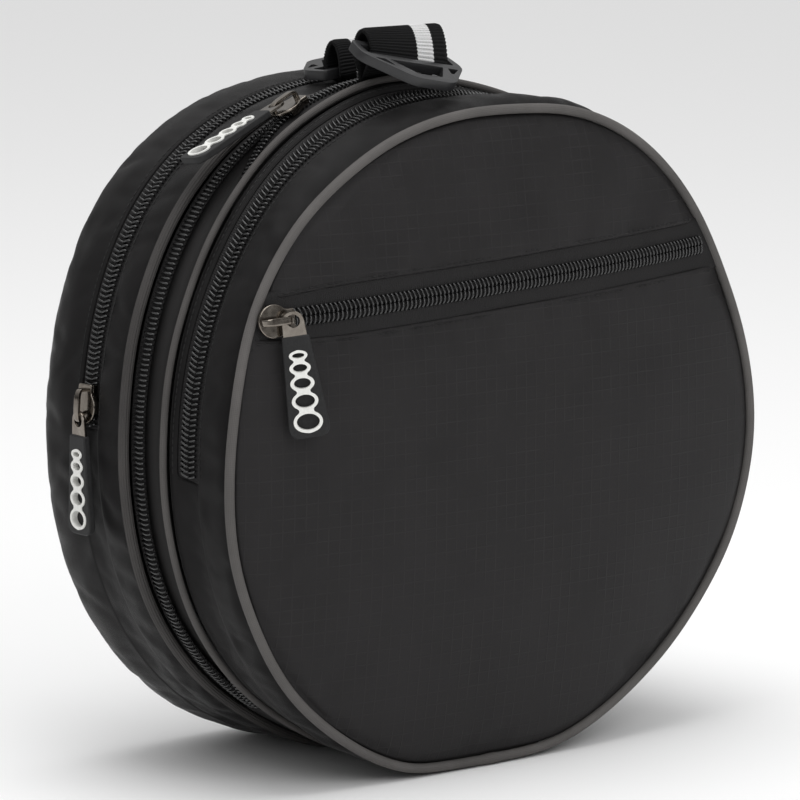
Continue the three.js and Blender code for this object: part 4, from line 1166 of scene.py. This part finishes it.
hang_face = Vector((math.sin(HANG_YAW), -math.cos(HANG_YAW), 0))
hang_from = (pocket_at @ (HANG_AT * MM)) / MM - hang_down * HANG_DROP
hang_at = frame_of(hang_down, hang_face.cross(hang_down), hang_face, hang_from)
hang_pull("pocket", pocket_at, hang_at, flip=True)

# Webbing loops: a ribbed black strap folded into two standing loops on the top, sewn down at the
# foot. A white reflective stripe is woven into the strap near one edge.
WEBBING_WIDTH, WEBBING_THICK, WEBBING_LENGTH = 44.0, 2.2, 112
WEBBING_THREAD, WEBBING_SEAM = 0.9, 0.02
RIB_COUNT, RIB_STEPS, RIB_HEIGHT = 56, 6, 0.6
LOOP_ROWS, SELVEDGE_DIP, SELVEDGE_WIDTH = 22, 0.5, 0.6
FOOT_NARROW, FOOT_SHIFT, FOOT_TRIES = 0.16, {"front": 4.0, "back": 0.0}, 24
# Loop: x, y, half depth, top above the axis, foot's depth, its half depth and its gap to the shell
LOOPS = {
    "front": (-22.5, -22.5, 7.0, 181.0, -12.8, 2.6, -0.3),
    "back": (-9.5, 14.0, 7.0, 173.0, 13.8, 6.0, 0.7),
}
# Ring: x, rise above the axis, way out, roll, pitch and seat in its loop
RINGS = {"front": (-24.8, 166.6, -1, 10, 24, 7.7), "back": (-9.5, 160.0, 1, -6, 0, 7.8)}
STRIPES = {"front": (0.60, 0.81), "back": (0.20, 0.41)}


def shell_top(x, depth):
    """The shell's height above a point of the floor, found from a first guess straight up."""
    angle = np.full(np.shape(x), math.pi / 2)
    for _ in range(FOOT_TRIES):
        angle = np.arccos(x / shell_reach(angle, depth))
    return on_shell(angle, depth, 0)[..., 2]


def add_loop(name):
    loop_x, loop_y, half_deep, top, foot_y, foot_half, foot_gap = LOOPS[name]
    ring_x, ring_rise, _, ring_roll, _, _ = RINGS[name]
    piece, around, across = add_cloth_grid(f"loop_{name}_strap", RIB_COUNT * RIB_STEPS, LOOP_ROWS)
    turn = 2 * math.pi * around - math.pi / 2
    lift, drop = np.sin(turn), np.maximum(-np.sin(turn), 0)
    x = loop_x + (across - 0.5) * WEBBING_WIDTH * (1 - FOOT_NARROW * drop) + FOOT_SHIFT[name] * drop
    belly = AXIS_HEIGHT + ring_rise - math.tan(math.radians(ring_roll)) * (x - ring_x)
    foot = shell_top(x, np.full(len(x), foot_y)) + foot_gap
    rib = RIB_HEIGHT * (np.abs(np.sin(math.pi * RIB_COUNT * around)) - 1)
    edge = np.minimum(across, 1 - across) * WEBBING_WIDTH
    rib = rib - SELVEDGE_DIP * np.exp(-(edge / SELVEDGE_WIDTH) ** 2)
    tall = np.where(lift > 0, AXIS_HEIGHT + top - belly, belly - foot) + rib
    half = half_deep + (foot_half - half_deep) * drop + rib
    y = loop_y + (foot_y - loop_y) * drop + half * np.cos(turn)
    write_points(piece, np.stack([x, y, belly + tall * lift], -1) * MM)
    measure_cloth(piece, lambda u: u * WEBBING_LENGTH, lambda v: v * WEBBING_WIDTH)
    edit(piece, SELECT_ALL, merge_within(WEBBING_SEAM * MM))
    centre = np.array([0, loop_y, AXIS_HEIGHT + ring_rise]) * MM
    face_out(piece, lambda points: (points - centre) * np.array([0, 1, 1]))
    thicken(piece, WEBBING_THICK - RIB_HEIGHT, rounds=0)
    return piece


def webbing_finish(name, stripe):
    """Black ribbed webbing, with the stripe's threads in white along the strap."""
    dark, light = (0.005, 0.005, 0.0053), (0.012, 0.012, 0.0125)
    material = cloth_finish(name, dark, light, WEBBING_THREAD, 0.72, shine=0.12)
    tree = material.node_tree
    shader = tree.nodes["Principled BSDF"]
    black = shader.inputs["Base Color"].links[0].from_socket
    cut = coords(tree, "UV")
    across = add_node(tree, "ShaderNodeSeparateXYZ", Vector=cut).outputs["Y"]
    middle, half = (share / 2 * WEBBING_WIDTH * MM for share in (sum(stripe), stripe[1] - stripe[0]))
    weave = threads(tree, cut, WEBBING_THREAD * MM)
    white = two_tones(tree, weave, (0.0, (0.42, 0.42, 0.42)), (1.0, (0.72, 0.72, 0.72)))
    dye = add_node(
        tree, "ShaderNodeMix", {"data_type": "RGBA"},
        Factor=work_out(tree, "COMPARE", across, middle, half),
    )
    colour_a, colour_b, mixed = dye.inputs[6], dye.inputs[7], dye.outputs[2]
    plug(tree, colour_a, black)
    plug(tree, colour_b, white)
    feed(tree, shader, Base_Color=mixed)
    return material


for loop_name, stripe in STRIPES.items():
    strap = add_loop(loop_name)
    sew_in(strap, webbing_finish(f"webbing_{loop_name}", stripe), "webbing", f"loop_{loop_name}")

# Moulded rings: black acetal strap rings, one in each loop. Each is a flat trapezoid with a slot
# for the strap, a large window and two small corner windows, with all edges rounded.
RING_THICK, RING_EASE = 4.3, 1.4
RING_SLOT, SLOT_CORNER, WINDOW_CORNER = (4.0, 11.6, 25.0), 1.4, 0.8
RING_EDGE, RING_CORNERS = [(27.2, 0), (29.8, 12.6), (11.2, 32)], (2.6, 5.0, 5.0)
LARGE_WINDOW = [(-15.5, 15.6), (15.5, 15.6), (7, 27), (-7, 27)]
RIGHT_WINDOW = [(18.2, 15.8), (24.4, 15.8), (17.8, 21.4), (16.2, 21.4)]
LEFT_WINDOW = [(-24.4, 15.8), (-18.2, 15.8), (-16.2, 21.4), (-17.8, 21.4)]
acetal = worn_finish("acetal", (0.015, 0.015, 0.016), (0.025, 0.025, 0.0265), 1500.0, (0.32, 0.46), 0.08)
for ring_name, (ring_x, ring_rise, way, roll, pitch, seat) in RINGS.items():
    corners = RING_EDGE + [(-x, y) for x, y in RING_EDGE[::-1]]
    outline = round_corners(corners, RING_CORNERS + RING_CORNERS[::-1], 7)
    ring = add_plate(f"ring_{ring_name}_moulding", outline, RING_THICK)
    near, far, half = RING_SLOT
    holes = [round_corners([(-half, near), (half, near), (half, far), (-half, far)], [SLOT_CORNER] * 4, 4)]
    for window in (LARGE_WINDOW, RIGHT_WINDOW, LEFT_WINDOW):
        holes.append(round_corners(window, [WINDOW_CORNER] * 4, 4))
    cut_away(ring, *[add_plate("window", hole, 3 * RING_THICK) for hole in holes])
    ease_edges(ring, RING_EASE, 3)
    loop_y, half_deep = LOOPS[ring_name][1:3]
    wall = loop_y + way * (half_deep - WEBBING_THICK / 2)
    place = Matrix.Translation(Vector((ring_x, wall, AXIS_HEIGHT + ring_rise)) * MM)
    place = place @ Matrix.Rotation(math.radians(roll), 4, "Y")
    place = place @ Matrix.Rotation(math.radians(-way * pitch), 4, "X")
    place = place @ Matrix.Rotation(math.pi if way < 0 else 0, 4, "Z")
    set_down(ring, place @ Matrix.Translation((0, -seat * MM, 0)))
    smooth_edges(ring)
    sew_in(ring, acetal, "moulded_plastic", f"ring_{ring_name}")

# Stage: a plain pale floor, soft studio light from above and in front, and a long lens that looks
# at the bag from the left of its front panel and a little above.
FLOOR_SIZE = 40.0
CAMERA_TARGET = Vector((0, 0, AXIS_HEIGHT * MM))
CAMERA_AZIMUTH, CAMERA_ELEVATION = math.radians(-40.37), math.radians(8.5)
CAMERA_DISTANCE, CAMERA_RIGHT, CAMERA_UP = 2.40045, -0.00274, 0.0096
CAMERA_LENS, CAMERA_SENSOR, CAMERA_FAR = 239.78, 36.0, 100.0
SKY_LOW, SKY_HIGH = 0.10, 1.12

floor = start_piece("floor", bpy.ops.mesh.primitive_plane_add, size=FLOOR_SIZE, location=(0, 0, 0))
floor.data.materials.append(new_finish("floor_paint", Base_Color=(0.91, 0.91, 0.91, 1), Roughness=0.9)[0])


def put_in_scene(name, data, place):
    made = bpy.data.objects.new(name, data)
    bpy.context.scene.collection.objects.link(made)
    made.location = place
    return made


back = Vector((
    math.sin(CAMERA_AZIMUTH) * math.cos(CAMERA_ELEVATION),
    -math.cos(CAMERA_AZIMUTH) * math.cos(CAMERA_ELEVATION),
    math.sin(CAMERA_ELEVATION),
))
right = Vector((math.cos(CAMERA_AZIMUTH), math.sin(CAMERA_AZIMUTH), 0))
up = back.cross(right)
lens = bpy.data.cameras.new("camera")
lens.lens, lens.sensor_width, lens.clip_end = CAMERA_LENS, CAMERA_SENSOR, CAMERA_FAR
stand = CAMERA_TARGET + back * CAMERA_DISTANCE + right * CAMERA_RIGHT + up * CAMERA_UP
camera = put_in_scene("camera", lens, stand)
camera.rotation_euler = Matrix((right, up, back)).transposed().to_euler()
bpy.context.scene.camera = camera
for light_name, light_at, light_size, light_power in (
    ("overhead", Vector((-0.2, -0.1, 2.6)), 2.0, 26.0),
    ("front_fill", CAMERA_TARGET + back * 1.8 + right * 0.7 + up * 0.8, 1.2, 10.0),
):
    light = bpy.data.lights.new(light_name, "AREA")
    light.shape, light.size, light.energy = "DISK", light_size, light_power
    softbox = put_in_scene(light_name, light, light_at)
    softbox.rotation_euler = (CAMERA_TARGET - light_at).to_track_quat("-Z", "Y").to_euler()
bpy.context.scene.view_settings.view_transform = "Standard"
studio = bpy.data.worlds.new("studio")
bpy.context.scene.world = studio
studio.use_nodes = True
sky_tree = studio.node_tree
sky_height = add_node(sky_tree, "ShaderNodeSeparateXYZ", Vector=coords(sky_tree, "Generated")).outputs["Z"]
sky_glow = draw_out(sky_tree, sky_height, (0.0, 1.0), (SKY_LOW, SKY_HIGH))
feed(sky_tree, sky_tree.nodes["Background"], Color=(1, 1, 1, 1), Strength=sky_glow)
